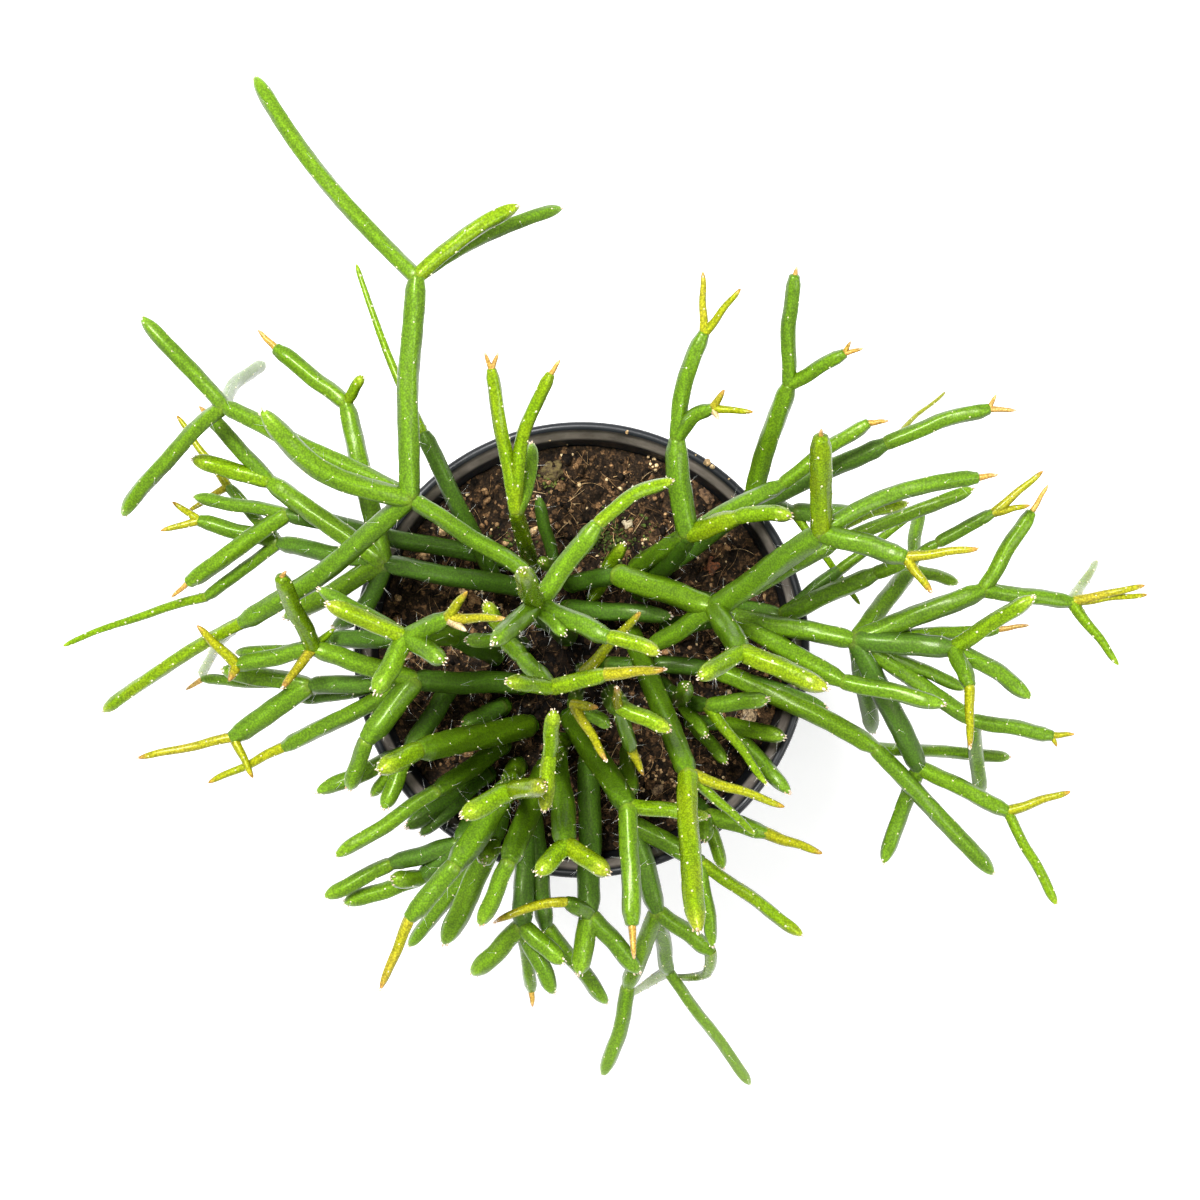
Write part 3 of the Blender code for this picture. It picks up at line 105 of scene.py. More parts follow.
# One entry for each shoot, in millimetres: where its far end is seen from the eye above the pot, measured
# at the rim, its height over the rim, its thickness, its age and how far it bows to its left.
# Its name less the last letter is the shoot it grows from, and "" is where the stem leaves the mix.
STEMS = {
    "stem_north_west": {
        "": (-10, 8, SOIL, 5.4, OLD), "a": (-15, 21, 34, 4.6, OLD), "aa": (-45.5, 40.2, 46, 4.6, RIPE),
        "aaa": (-43.5, 98.5, 52, 5.6, RIPE, 1), "aaaa": (-86.3, 151.5, 28, 4.3, RIPE, 2.6),
        "aaab": (-16.5, 117.5, 48, 4.2, YOUNG, 1.5), "aaac": (-5.2, 116.8, 30, 3.6, RIPE, 2),
        "aab": (-84.5, 63.5, 58, 5.6, RIPE, 5), "aac": (-94.5, 64.5, 30, 4.6, RIPE),
        "aaca": (-116.3, 88, 32, 4.2, RIPE), "aacb": (-84, 75.5, -30, 3.4, RIPE, 2),
        "aacc": (-121.3, 35.5, 8, 4.2, RIPE, -1.6), "aad": (-89.6, 7.3, 18, 5.2, RIPE, 1.9),
        "aada": (-126.5, -16.3, -8, 3.5, YOUNG, -1), "aadb": (-100.5, -7, -35, 2.6, YOUNG, -1.5),
    },
    "stem_north_thin": {
        "": (-22, 17, SOIL, 4.4, OLD), "a": (-42.5, 59.5, 18, 4.5, OLD),
        "aa": (-59.5, 102, 22, 2.1, YOUNG, 1),
    },
    "stem_west": {
        "": (-11, 15.4, SOIL, 5.2, OLD), "a": (-53, 24, 12, 5.2, OLD), "aa": (-62.3, 65.2, 15, 5.0, RIPE),
        "aaa": (-80.6, 79.6, 12, 4.4, RIPE), "aaaa": (-85.6, 84.6, 12, 1.6, BUD),
        "aab": (-57.9, 72.5, 20, 3.0, YOUNG), "ab": (-82.5, 44.5, 10, 5.2, RIPE),
        "aba": (-99, 62.5, 14, 4.0, RIPE), "abaa": (-101.2, 64.5, 15, 1.3, BUD),
        "abb": (-94, 56.5, 6, 3.4, RIPE), "abba": (-99.3, 60.2, 6, 1.3, BUD),
        "abc": (-103, 50.5, 12, 4.5, YOUNG), "ac": (-80, 28.3, 3, 4.6, OLD),
        "aca": (-101, 34.2, 0, 4.2, RIPE), "acaa": (-108.2, 39.2, 0, 1.9, NEW),
        "acab": (-111.3, 31.5, 0, 1.9, NEW), "acb": (-93.5, 43.3, -6, 3.0, RIPE),
        "acba": (-107, 62, -8, 2.0, NEW), "acbb": (-104.2, 36.5, -8, 1.7, NEW),
        "acc": (-99.3, 14, -4, 3.2, RIPE), "acca": (-137, 1, -15, 2.1, YOUNG, -1),
        "ad": (-78.5, 8.5, 4, 5.0, RIPE), "ae": (-65.8, 6, 4, 4.6, OLD, 3),
    },
    "stem_west_dark": {
        "": (-20, 23.5, SOIL, 4.6, OLD), "a": (-77.5, 35, 4, 4.6, OLD),
        "aa": (-102.5, 40.5, 0, 3.5, RIPE), "ab": (-103.6, 18, 0, 4.6, RIPE),
        "aba": (-108.5, 13.8, 0, 1.3, BUD),
    },
    "stem_centre": {
        "": (-4, 4, SOIL, 6.0, OLD), "a": (-12, 12, 70, 6.4, OLD), "aa": (-15.8, 21, 100, 5.6, YOUNG),
        "ab": (4, 33, 76, 5.2, RIPE), "aba": (24.2, 44.8, 70, 3.6, YOUNG, 1.6),
        "ac": (7, 3.4, 80, 5.4, RIPE), "aca": (20.6, -1, 84, 4.0, YOUNG, 0.6),
        "ad": (-23.3, 1.8, 98, 5.4, RIPE), "ae": (-4.3, 4, 78, 3.8, RIPE),
    },
    "stem_centre_low": {
        "": (-16, 1, SOIL, 5.0, OLD), "a": (-20, 2.5, 44, 5.0, OLD), "aa": (-15.5, -2.2, 52, 4.6, RIPE),
        "aaa": (-8, -10, 62, 4.6, RIPE), "aaaa": (-19.8, -8.3, 72, 4.3, YOUNG),
        "aaab": (6.7, -6.4, 70, 4.4, YOUNG), "aaaba": (22.3, -5.1, 76, 2.9, NEW),
        "ab": (-30.6, 2.5, 50, 3.8, RIPE), "ac": (-25.4, 12.6, 54, 4.0, YOUNG),
    },
    "stem_north_mid": {
        "": (-13, 22, SOIL, 4.2, OLD), "a": (-17.4, 36.4, 40, 4.2, YOUNG),
        "aa": (-23.8, 74, 52, 3.7, YOUNG), "aaa": (-25.6, 78.6, 54, 1.2, BUD),
        "aab": (-22, 78.6, 54, 1.2, BUD), "ab": (-8.3, 72.7, 54, 3.5, YOUNG, 2.5),
        "aba": (-5.6, 76.8, 55, 1.2, BUD), "ac": (-13.2, 54.7, 34, 4.2, RIPE, -1),
    },
    "stem_north_small": {
        "": (-7, 21.5, SOIL, 3.6, OLD), "a": (-11.5, 40.6, 6, 3.3, OLD),
        "b": (-10.5, 23.3, 30, 3.5, RIPE),
    },
    "stem_north_east": {
        "": (16, 15.5, SOIL, 5.6, OLD), "a": (28.2, 30.5, 30, 6.2, OLD),
        "aa": (25.3, 55.5, 38, 6.0, RIPE, 0.8), "aaa": (32.3, 83.5, 46, 4.4, RIPE, 1.6),
        "aaaa": (32.1, 100, 48, 2.0, NEW), "aaab": (42.1, 95.6, 50, 2.0, NEW),
        "aab": (34.6, 63.8, 46, 3.9, RIPE, 1.6), "aaba": (37.8, 68.9, 50, 1.9, NEW),
        "aabb": (45.4, 62.9, 50, 1.9, NEW), "aabc": (36.3, 60.8, 48, 1.5, HUSK),
        "ab": (41, 35, 38, 5.2, YOUNG), "aba": (55.7, 35.2, 44, 4.2, YOUNG, 1),
        "ac": (53, 43.7, 24, 4.4, RIPE, 0.5), "aca": (75.6, 59.9, 30, 3.8, RIPE, 0.5),
        "acaa": (81.3, 60.6, 31, 1.4, BUD), "ad": (11.5, 21, 2, 5.0, RIPE),
    },
    "stem_north_inner": {
        "": (3, 14, SOIL, 3.6, OLD), "a": (10.9, 28, 12, 3.7, YOUNG),
    },
    "stem_east": {
        "": (-2.5, 17.5, SOIL, 4.8, OLD), "a": (10, 20.2, 10, 4.8, OLD), "aa": (35.3, 11, 26, 6.4, RIPE),
        "aab": (42.3, -0.5, 50, 6.2, RIPE), "aaba": (31, -7.4, 62, 4.8, YOUNG),
        "aabb": (65, -10.3, 58, 5.4, YOUNG), "aac": (17.5, 0.4, 14, 4.8, RIPE),
        "aad": (63.3, 31, 54, 6.4, RIPE), "aada": (63.3, 56, 74, 5.8, YOUNG),
        "aadaa": (63.4, 58.6, 76, 1.2, BUD), "aadb": (85.5, 24.6, 62, 5.6, RIPE),
        "aadba": (105.2, 26.8, 66, 3.0, NEW), "aadbb": (92.7, 15, 64, 3.0, NEW),
        "aadc": (104.5, 45.5, 52, 4.3, RIPE, 3), "aadca": (110.3, 46.4, 53, 1.5, BUD),
        "aadd": (86.2, 38.8, 46, 3.5, YOUNG, 0.8), "aae": (67, 28.3, 34, 4.2, RIPE),
        "aaea": (103.6, 42.6, 36, 3.6, RIPE),
    },
    "stem_north_far": {
        "": (22.5, 22, SOIL, 4.8, OLD), "a": (44.5, 38, 9, 4.8, OLD),
        "aa": (54.8, 70, 32, 5.2, RIPE, 0.5), "aaa": (56.3, 98.7, 44, 4.0, RIPE, 0.6),
        "aaaa": (57, 101.4, 45, 1.2, BUD), "aab": (69.3, 78.3, 40, 3.8, RIPE),
        "aaba": (71.2, 81.7, 42, 1.2, BUD), "aabb": (74.5, 79.7, 42, 1.2, BUD),
        "ab": (80.2, 54.4, 18, 5.0, OLD), "aba": (107.6, 63.7, 22, 4.1, RIPE, 0.8),
        "abaa": (109.7, 67.7, 23, 1.2, BUD), "abab": (115, 63.3, 23, 1.4, BUD),
        "abb": (96.2, 68.2, -4, 1.3, NEW), "ac": (56, 36.5, 6, 4.8, OLD), "aca": (73, 35.8, 5, 4.8, OLD),
        "acb": (73.6, 12, 0, 1.9, YOUNG),
    },
    "stem_centre_dark": {
        "": (-3.5, 11.1, SOIL, 4.6, OLD), "a": (24.3, 10.2, -1, 4.6, OLD),
    },
    "stem_east_low": {
        "": (23, 6, SOIL, 5.0, OLD), "a": (39, 8.8, 8, 5.2, OLD), "aa": (71.8, 2.6, 16, 5.2, RIPE),
        "aaa": (98.3, 0.5, 26, 5.8, OLD), "aaaa": (119.6, 14.1, 36, 4.3, YOUNG),
        "aaab": (118.7, -12.7, 24, 4.4, RIPE, 0.8), "aaac": (102.6, -9.3, 34, 4.4, RIPE),
        "aaaca": (102.7, -26, 34, 3.0, NEW), "aab": (106, 15.8, 20, 5.4, RIPE),
        "aaba": (118.8, 36.2, 22, 4.1, RIPE), "aabaa": (123.4, 43.7, 23, 1.3, BUD),
        "aabb": (129.5, 12.7, 16, 4.2, RIPE), "aabba": (149, 17.1, 18, 2.2, NEW),
        "aabbb": (149.6, 14.6, 16, 1.9, NEW), "aabbc": (142, -4, 14, 2.6, YOUNG),
        "aabbd": (136.3, 23.6, -15, 2.6, YOUNG), "aac": (87, 21.5, 2, 4.8, RIPE),
        "aaca": (89.6, 38.3, -12, 3.4, RIPE), "aacb": (99.5, 17.8, -4, 3.2, RIPE),
        "aad": (88.5, -31.5, 2, 5.6, OLD), "aada": (79.7, -56.7, -4, 4.1, RIPE),
        "aadb": (112.5, -42.6, 2, 4.3, RIPE), "aadba": (129.3, -37.4, 4, 2.3, NEW),
        "aadbb": (125.6, -67.3, 0, 2.8, YOUNG), "aae": (77, -21.8, -10, 4.4, OLD),
        "aaf": (103.3, -18.6, 8, 4.4, RIPE), "aafa": (124.3, -22.6, 10, 4.0, RIPE),
        "aafaa": (130.4, -22.2, 11, 1.5, NEW), "aafab": (125.7, -25.6, 10, 1.3, NEW),
        "aafb": (105.6, -38, -16, 3.8, RIPE), "aag": (109.8, 5.4, 14, 3.4, RIPE),
        "aaga": (118.4, 6.6, 16, 1.3, BUD), "aah": (101.3, -10.3, 10, 3.4, RIPE),
        "ab": (69, -8.3, 24, 5.0, RIPE), "aba": (96, -14.4, 30, 4.5, RIPE),
    },
    "stem_east_far": {
        "": (28.5, 14, SOIL, 4.6, OLD), "a": (53, 9, 7, 4.6, OLD), "aa": (77.6, 20.3, 16, 4.8, RIPE),
        "aaa": (85.6, 23, 20, 3.8, RIPE), "aaaa": (94.2, 28.4, 24, 3.0, RIPE),
        "aaaaa": (108.8, 36.2, 26, 3.4, RIPE), "aaaaaa": (122, 47.3, 28, 2.1, NEW),
        "aaaaab": (118.6, 38.3, 27, 1.8, NEW), "ab": (68.4, 21.3, 8, 3.8, OLD),
        "aba": (88.6, 36.6, 12, 2.4, RIPE),
    },
    "stem_south_east": {
        "": (7, -4, SOIL, 4.6, OLD), "a": (33, -5.5, -2, 4.6, OLD),
        "aa": (78.3, -25.6, 6, 5.0, RIPE, 1.2), "aaa": (109.5, -58.4, -8, 4.3, RIPE),
        "aab": (114, -28.6, -14, 3.2, RIPE), "ab": (64.8, -15.3, 3, 4.0, OLD),
    },
    "stem_east_small": {
        "": (20, -8, SOIL, 4.2, OLD), "a": (26, -10.5, 12, 4.4, OLD), "aa": (27.7, -9.6, 36, 4.5, RIPE),
        "ab": (33, -22.8, 24, 3.5, RIPE), "ac": (33.6, -14.8, 20, 4.0, OLD),
        "aca": (49.4, -12.9, 26, 4.4, RIPE), "acb": (49, -35.6, 22, 2.7, YOUNG),
    },
    "stem_south_near": {
        "": (13, 4.5, SOIL, 5.4, OLD), "a": (28.4, -33, 44, 5.8, RIPE),
        "aa": (31, -74.6, 76, 5.6, YOUNG, -1), "ab": (53.7, -41.5, 40, 2.6, NEW),
        "ac": (45.8, -48.8, 36, 2.6, YOUNG),
    },
    "stem_south_mid": {
        "": (-3, -18, SOIL, 5.4, OLD), "a": (11.4, -42, 38, 6.4, RIPE),
        "aa": (13.4, -72.3, 46, 5.0, RIPE), "aaa": (13.9, -81.8, 48, 1.7, BUD),
        "ab": (33.6, -43.9, 30, 4.0, YOUNG),
    },
    "stem_south_drop": {
        "": (9, -33, SOIL, 4.8, OLD), "a": (13.5, -46, 7, 5.0, OLD), "aa": (20, -69, 6, 5.4, OLD),
        "aaa": (34, -79.6, 0, 4.4, RIPE), "aaaa": (24.6, -86, -25, 2.5, YOUNG, 4.5),
        "aab": (12.3, -88.7, -12, 4.5, RIPE), "aaba": (5.6, -112.4, -25, 3.9, RIPE, 1),
        "aac": (22.8, -84.8, -16, 4.0, RIPE), "aaca": (44.6, -114.8, -35, 2.9, RIPE),
        "aacb": (12.6, -91.2, -45, 2.4, YOUNG), "ab": (31.5, -56, 12, 5.0, RIPE),
        "aba": (58.4, -75.4, 8, 3.3, YOUNG), "abb": (34.7, -78.5, 12, 3.4, RIPE),
    },
    "stem_south": {
        "": (2, -28, SOIL, 5.4, OLD), "a": (2, -69.8, 10, 6.0, OLD), "aa": (-3.8, -66.6, 18, 4.2, RIPE),
        "aaa": (-23, -72, 20, 3.0, NEW, -1.2), "ab": (-1, -85.7, 10, 5.2, RIPE),
        "ac": (15.3, -85.2, 4, 4.8, RIPE),
    },
    "stem_south_twin": {
        "": (-13.4, -37.3, SOIL, 5.4, OLD), "a": (-15.7, -73, 4, 5.6, OLD),
        "b": (-9.4, -73, -2, 4.8, OLD), "aa": (-28.8, -85.8, 0, 5.0, RIPE),
        "ab": (-7.3, -90.8, 2, 4.4, RIPE), "ac": (-4.4, -82.8, 12, 4.8, RIPE),
        "ad": (-13.2, -89.6, -10, 3.4, RIPE), "ada": (-12.9, -94.4, -10, 1.4, BUD),
        "ba": (6.7, -93.4, -8, 4.0, RIPE),
    },
    "stem_south_bank": {
        "": (-9.5, -31.2, SOIL, 5.4, OLD), "a": (-19.7, -56.6, 32, 6.2, RIPE),
        "aa": (-26.8, -72.8, 30, 4.4, RIPE),
    },
    "stem_south_high": {
        "": (-5.5, -24.5, SOIL, 5.4, OLD), "a": (-6, -27.5, 15, 5.4, RIPE),
        "aa": (-4, -51.5, 44, 6.4, RIPE), "aaa": (-11.7, -59.2, 52, 5.0, YOUNG),
        "aab": (7.2, -59.2, 52, 5.0, YOUNG), "ab": (-8.5, -28, 54, 4.4, YOUNG),
        "aba": (-7.4, -16, 62, 4.1, YOUNG), "abb": (-9.8, -42.6, 60, 4.1, YOUNG),
    },
    "stem_south_west": {
        "": (-17, -31, SOIL, 5.4, OLD), "a": (-19, -36, 14, 5.6, RIPE),
        "aa": (-33.2, -56.6, 30, 6.8, RIPE), "aaa": (-45.3, -70.7, 28, 5.2, RIPE),
        "aaaa": (-53.2, -89.8, 24, 3.3, NEW), "ab": (-18.7, -37.2, 56, 5.0, RIPE),
        "aba": (-31.6, -44, 64, 5.4, YOUNG), "abb": (-9.7, -36, 72, 5.2, YOUNG),
    },
    "stem_south_pale": {
        "": (-20, -37.5, SOIL, 5.0, OLD), "a": (-23.5, -51, 6, 5.0, OLD),
        "aa": (-36.4, -77.8, 0, 5.8, RIPE), "ab": (-45.6, -78.3, -10, 3.7, RIPE),
        "ac": (-26, -55.8, 18, 5.0, RIPE),
    },
    "stem_west_south": {
        "": (-14, -20, SOIL, 5.6, OLD), "a": (-43, -26.4, 40, 6.8, RIPE),
        "aa": (-53.6, -31.9, 50, 5.4, YOUNG), "b": (-29.5, -21.8, 12, 5.0, OLD),
    },
    "stem_south_west_long": {
        "": (-21, -25.5, SOIL, 4.8, OLD), "a": (-37.9, -37, 20, 5.0, RIPE),
        "aa": (-65, -54.5, 18, 3.9, RIPE),
    },
    "stem_south_west_low": {
        "": (-25, -33, SOIL, 4.8, OLD), "a": (-46.3, -47, 6, 4.8, OLD), "b": (-40.5, -51.3, 0, 3.8, OLD),
        "c": (-34, -47.6, 2, 3.4, RIPE),
    },
    "stem_south_west_trail": {
        "": (-27, -40, SOIL, 4.8, OLD), "a": (-34, -49.5, 7, 5.0, OLD), "aa": (-50, -57.6, 5, 4.6, OLD),
        "aaa": (-67.8, -65.4, 3, 4.1, RIPE), "ab": (-43, -58.8, 3, 4.6, OLD),
        "aba": (-62.8, -66.8, 0, 4.4, RIPE), "abb": (-50.4, -59.3, 12, 4.6, RIPE),
    },
    "stem_west_trail": {
        "": (-34, -9, SOIL, 4.8, OLD), "a": (-45.8, -27, 5, 5.2, OLD), "aa": (-70, -37.6, 2, 4.3, RIPE),
        "ab": (-52.3, -42, 8, 4.4, RIPE), "ac": (-55.6, -38.6, 1, 3.1, RIPE),
    },
    "stem_west_mid": {
        "": (-16, -9, SOIL, 5.6, OLD), "a": (-44, -8, 16, 5.8, OLD), "aa": (-56.8, -23.6, 18, 6.2, RIPE),
        "aaa": (-61.4, -36.8, 10, 4.3, RIPE), "ab": (-71, 0.5, 20, 5.0, RIPE),
        "aba": (-79.4, 19, 44, 4.6, YOUNG), "abaa": (-78, 21, 46, 1.2, BUD),
        "abb": (-79.2, -10.2, 30, 3.1, NEW), "abc": (-91, -4, 14, 4.4, RIPE),
        "abca": (-101.6, 6.6, 18, 2.6, NEW), "abcb": (-93.2, -8.3, 18, 2.5, NEW),
        "abd": (-91.4, -0.7, 6, 2.9, RIPE), "abe": (-65.3, 5.7, 16, 1.9, YOUNG),
        "ac": (-72, -9.4, 5, 4.8, OLD), "aca": (-95.2, -5.2, 2, 4.8, RIPE),
        "acb": (-92, -23, -2, 5.4, RIPE), "acba": (-117.4, -28.6, -2, 2.9, NEW),
        "acbb": (-86.8, -33.9, 0, 2.1, NEW), "acc": (-100, -7.6, -12, 2.9, RIPE),
        "acca": (-104.7, -10.6, -12, 1.3, BUD), "ad": (-78.4, -25.5, -2, 4.3, RIPE),
        "ada": (-98.7, -35.1, -4, 2.3, NEW), "ae": (-74, -13.6, -3, 2.9, OLD),
    },
    "stem_west_high": {
        "": (-23, -1.6, SOIL, 5.2, OLD), "a": (-34, 3.5, 24, 5.2, OLD), "aa": (-46.3, 3.3, 56, 5.4, RIPE),
        "aaa": (-69.6, 16.2, 50, 4.0, RIPE), "aab": (-67.4, 12.3, 62, 4.7, YOUNG),
        "aac": (-35.6, 8.4, 64, 5.0, RIPE), "aaca": (-30.2, 15.6, 70, 2.5, NEW),
        "aacb": (-20, 8.3, 72, 2.5, NEW), "aacc": (-30.4, 5, 68, 2.1, HUSK),
        "aad": (-36.3, -3, 66, 5.0, RIPE), "aae": (-54.5, -11.6, 62, 5.4, RIPE),
        "ab": (-68.5, 3, 7, 4.8, OLD),
    },
    "stem_west_bare": {
        "": (-21, -15, SOIL, 5.0, OLD), "a": (-31.5, -20.5, 2, 5.0, OLD),
    },
    "stem_golden": {
        "": (0, -5, SOIL, 3.4, OLD), "a": (1, -5.6, 38, 3.2, RIPE), "aa": (15.6, 10, 58, 2.7, NEW),
    },
    "stem_south_inner": {
        "": (-1, -11, SOIL, 3.8, OLD), "a": (-2, -14.6, 44, 3.8, RIPE), "aa": (6.2, -15, 50, 2.5, NEW),
        "ab": (6.6, -29.4, 54, 3.1, NEW), "ac": (7.8, -20.2, 42, 3.7, RIPE),
    },
    "stem_centre_south": {
        "": (8, -12, SOIL, 5.4, OLD), "a": (8, -15, 54, 6.0, RIPE), "aa": (23.4, -21.2, 56, 4.3, YOUNG),
        "ab": (9.3, -9.8, 68, 3.0, NEW), "ac": (13, -26, 36, 3.7, RIPE),
        "aca": (16.4, -33.2, 34, 2.1, NEW),
    },
    "stem_south_nub": {
        "": (12, -27, SOIL, 4.0, OLD), "a": (13, -38, 24, 4.3, RIPE),
    },
    "stem_east_floor": {
        "": (29, -19, SOIL, 4.0, OLD), "a": (38, -19.6, -2, 4.0, OLD), "aa": (53.7, -23.1, 10, 4.3, RIPE),
        "ab": (55.1, -37.8, 8, 4.1, RIPE), "b": (38.4, -29.9, 2, 3.5, RIPE),
    },
    "stem_south_east_low": {
        "": (27, -37, SOIL, 4.4, OLD), "a": (33, -43.6, 8, 4.4, OLD), "aa": (48.6, -48.4, 8, 4.5, RIPE),
        "aaa": (63.7, -53.8, 9, 2.6, NEW), "ab": (32.6, -50.4, 16, 3.9, RIPE),
        "ac": (37.4, -57.8, 6, 3.5, RIPE),
    },
}

# Loose bits on the mix: x, y, length, width, thickness, turn in degrees and colour
BITS = {
    "bark_chip_green": (-8, 48, 6.5, 5, 2.6, 20, "#6f6136"),
    "bark_chip_tan": (33.5, 41, 5, 2.6, 2.2, -50, "#8a6a4a"),
    "bark_chip_orange": (35, 22.5, 5, 4, 2.4, 60, "#9a5a33"),
    "pumice_grain_pale": (12.3, 33.5, 3.4, 3, 2.2, 10, "#cfc0a0"),
    "bark_chip_large": (44.5, -18, 7, 4.5, 3, 75, "#b89f78"),
    "bark_chip_red": (47, -9.5, 4.2, 3, 2.2, 15, "#7c4230"),
    "bark_chip_brown": (46, 14.5, 5, 3.6, 2.4, -20, "#6d4a33"),
    "bark_chip_small": (20.3, -37.5, 4, 3, 2.2, 40, "#a08360"),
}

# Outline of a shoot: reaches in its radii, and thicknesses as shares of its full one
BACK = 0.25
OVERRUN = 0.35
NECK = 0.5
NECK_REACH = 1.0
WAIST = 0.76
WAIST_REACH = 1.3
CAP_REACH = 0.36
BELLY = 0.04
END_REACH = 3.2
END_SHORTEST = 0.5
LONG_SHOOT = 13.0
END_CURVE = 2.2
END_FULLNESS = 0.55
NEW_TAPER = 0.4
SPRIG_BASE = 1.35
SPRIG_END = 0.7
SPRIG_POINT = 3.0
SPRIG_NECK = 0.95
SPRIG_SWELL = 0.05
SPRIG_BACK = 0.3
SPRIG_NECK_REACH = 1.6
LEAST_END = 0.0015
LEAST_POINT = 0.003
LEAST_CAP = 0.01

# Net of a shoot, in millimetres where it is a length, and directions that its frames start from
RINGS_AT_LEAST = 14
RING_STEP = 1.5
RINGS_AT_MOST = 46
SIDES = 20
THIN_SIDES = 10
THIN_RADIUS = 1.5
UP_GUIDE = (0.13, 0.31, 1.0)
LEVEL_GUIDE = (1.0, 0.2, 0.1)
STEEP = 0.85

# How a shoot departs from a plain round rod, in millimetres, in its radii or as shares
PHASE_STEP = 2.399
SWAY = 0.35
SWAY_LENGTH = 25.0
SWAY_TURNS = 1.3
RIDGES = 5
RIDGE_TWIST = 0.035
RIDGE_SHARE = {OLD: 0.04, RIPE: 0.05, YOUNG: 0.05, NEW: 0.04, BUD: 0.06, HUSK: 0.12}
UNEVEN = 0.018
UNEVEN_PITCH = 0.9
TIP_REACH = 2.6
SCAR_REACH = 0.6
TONE_SPREAD = 0.035
TONE_PITCH = 7
# Painted haze on the low shoots beyond the rim: how far below the rim it starts, the depth over which it grows
# full, and how far inside the lip it reaches
PALE_FROM = -14.0
PALE_DEPTH = 45.0
PALE_MARGIN = 5.0

# Woolly spots along the ridges, and the crown of them on each growing tip
SPOT_SPACING = {OLD: 2.3, RIPE: 2.0, YOUNG: 1.7, NEW: 1.6, BUD: 1.2, HUSK: 3.0}
SPOT_SIZE = {OLD: 0.17, RIPE: 0.19, YOUNG: 0.25, NEW: 0.17, BUD: 0.12, HUSK: 0.1}
SPOT_LEAST = 0.8
SPOT_VARY = 0.4
SPOT_PITCH = 2.4
SPOT_SIDES = 6
SPOT_STRETCH = 1.25
SPOT_RISE = 0.8
SPOT_ROOT = 0.6
FIRST_SPOT = 1.5
LAST_SPOT = 0.7
BARE_LENGTH = 3
RIDGES_SKIPPED = 2
CROWN_SPOTS = 6
CROWN_RADIUS = 1.3
CROWN_TOP = 0.02
CROWN_DEPTH = 0.5
CROWN_CROWDING = 1.6
CROWN_SIZE = 0.25
CROWN_LARGEST = 1.25
CROWN_SHRINK = 0.5
STEEPEST = 3

# Bristles out of each woolly spot
BRISTLES = {OLD: 2, RIPE: 1, YOUNG: 1, NEW: 1, BUD: 0, HUSK: 0}
BRISTLE_LENGTH = {OLD: 3.4, RIPE: 2.8, YOUNG: 1.3, NEW: 0.6, BUD: 0.0, HUSK: 0.0}
BRISTLE_RANGE = (0.45, 1.25)
BRISTLE_RADIUS = 0.024
BRISTLE_SPREAD = 0.6
BRISTLE_LEAN = 0.35
BRISTLE_BEND = 0.1
BRISTLE_LOWER = 0.55
BRISTLE_UPPER = 0.45
BRISTLE_SUNK = 0.15
BRISTLE_THINNING = 0.75
BRISTLE_TURNS = (0, 2.094, 4.189)
BRISTLE_GUIDE = (0.3, 0.5, 0.81)

# Mix: its surface, and crumbs as count, least and greatest size, tones and their odds
CLOD = 4.0
CLOD_RISE = 1.6
CLOD_LAYER = 3
CLOD_OCTAVES = 3
MIX_NET = 150
MIX_TONE = 0.12
CRUMB_KINDS = [
    (3200, 0.25, 0.75, (0.05, 0.15, 0.3, 0.5, 0.75), (0.36, 0.26, 0.19, 0.12, 0.07)),
    (900, 0.6, 1.9, (0.03, 0.12, 0.25, 0.42, 0.58), (0.35, 0.28, 0.2, 0.12, 0.05)),
]
CRUMB_ROUGHNESS = (0.72, 1.25)
CRUMB_STRETCH = (0.6, 1.25)
CRUMB_FLATNESS = 0.7
CRUMB_LIFT = 0.1
CRUMB_MARGIN = 1.5
FINE_BIAS = 2.5

# Patches of like crumbs on the mix: x, y, reach, count and tone
PATCHES = [
    (8, 30, 5, 170, 0.95), (-8, 45, 2.5, 40, 0.9), (16.5, 29, 1.0, 3, 0.8), (20, 50, 3, 14, 0.7),
    (14, 31, 7, 60, 0.95), (-18, 30, 6, 30, 0.95), (26, -40, 5, 26, 0.68), (20, -33, 5, 26, 0.6),
]
PATCH_LIFT = 0.3
PATCH_SIZES = (0.22, 0.6)
PATCH_SPREAD = 0.02

# Fibres on the mix
FIBRES = 620
FIBRE_STEPS = 6
FIBRE_SIDES = 4
FIBRE_LENGTH = (2.5, 9)
FIBRE_CURL = 1.1
FIBRE_ARCH = (0.1, 1.2)
FIBRE_RADIUS = (0.05, 0.15)
FIBRE_TAPER = 0.5
FIBRE_LIFT = 0.25
FIBRE_MARGIN = 6
FIBRE_END_MARGIN = 2
FIBRE_TONES = (0.3, 0.45, 0.58, 0.7)
FIBRE_ODDS = (0.4, 0.3, 0.2, 0.1)

# Crumbs on the ledge inside the lip: x, y and size
RIM_CRUMBS = [
    (33.2, 49.5, 1.3), (34.6, 48.4, 0.9), (26.6, 53.2, 0.9), (39, 45.2, 0.4), (30.2, 51.5, 0.3),
    (12, 57.6, 0.6), (-8.5, 56, 0.6), (-4, 55, 0.5), (9.5, 56.2, 0.3), (40, 41, 0.5), (19, 54.6, 0.35),
]
RIM_CRUMB_TONES = (0.58, 0.66, 0.74)
LIP_WIDTH = 1.7
SLOPE_WIDTH = 2.6
SLOPE_FOOT = 1.4

# Loose bits: how far noise pushes their surface, and how finely
BIT_SHARE = 0.94
BIT_SQUARENESS = 0.8
BIT_LIFT = 0.25
BIT_FULLNESS = 0.92
BIT_SEED = 0.37
COARSE_RISE = 0.5
COARSE_PITCH = 1.3
LAYER_RISE = 0.22
LAYER_PITCH = Vector((2, 5, 4))
CHIP_RISE = 0.14
CHIP_PITCH = 8

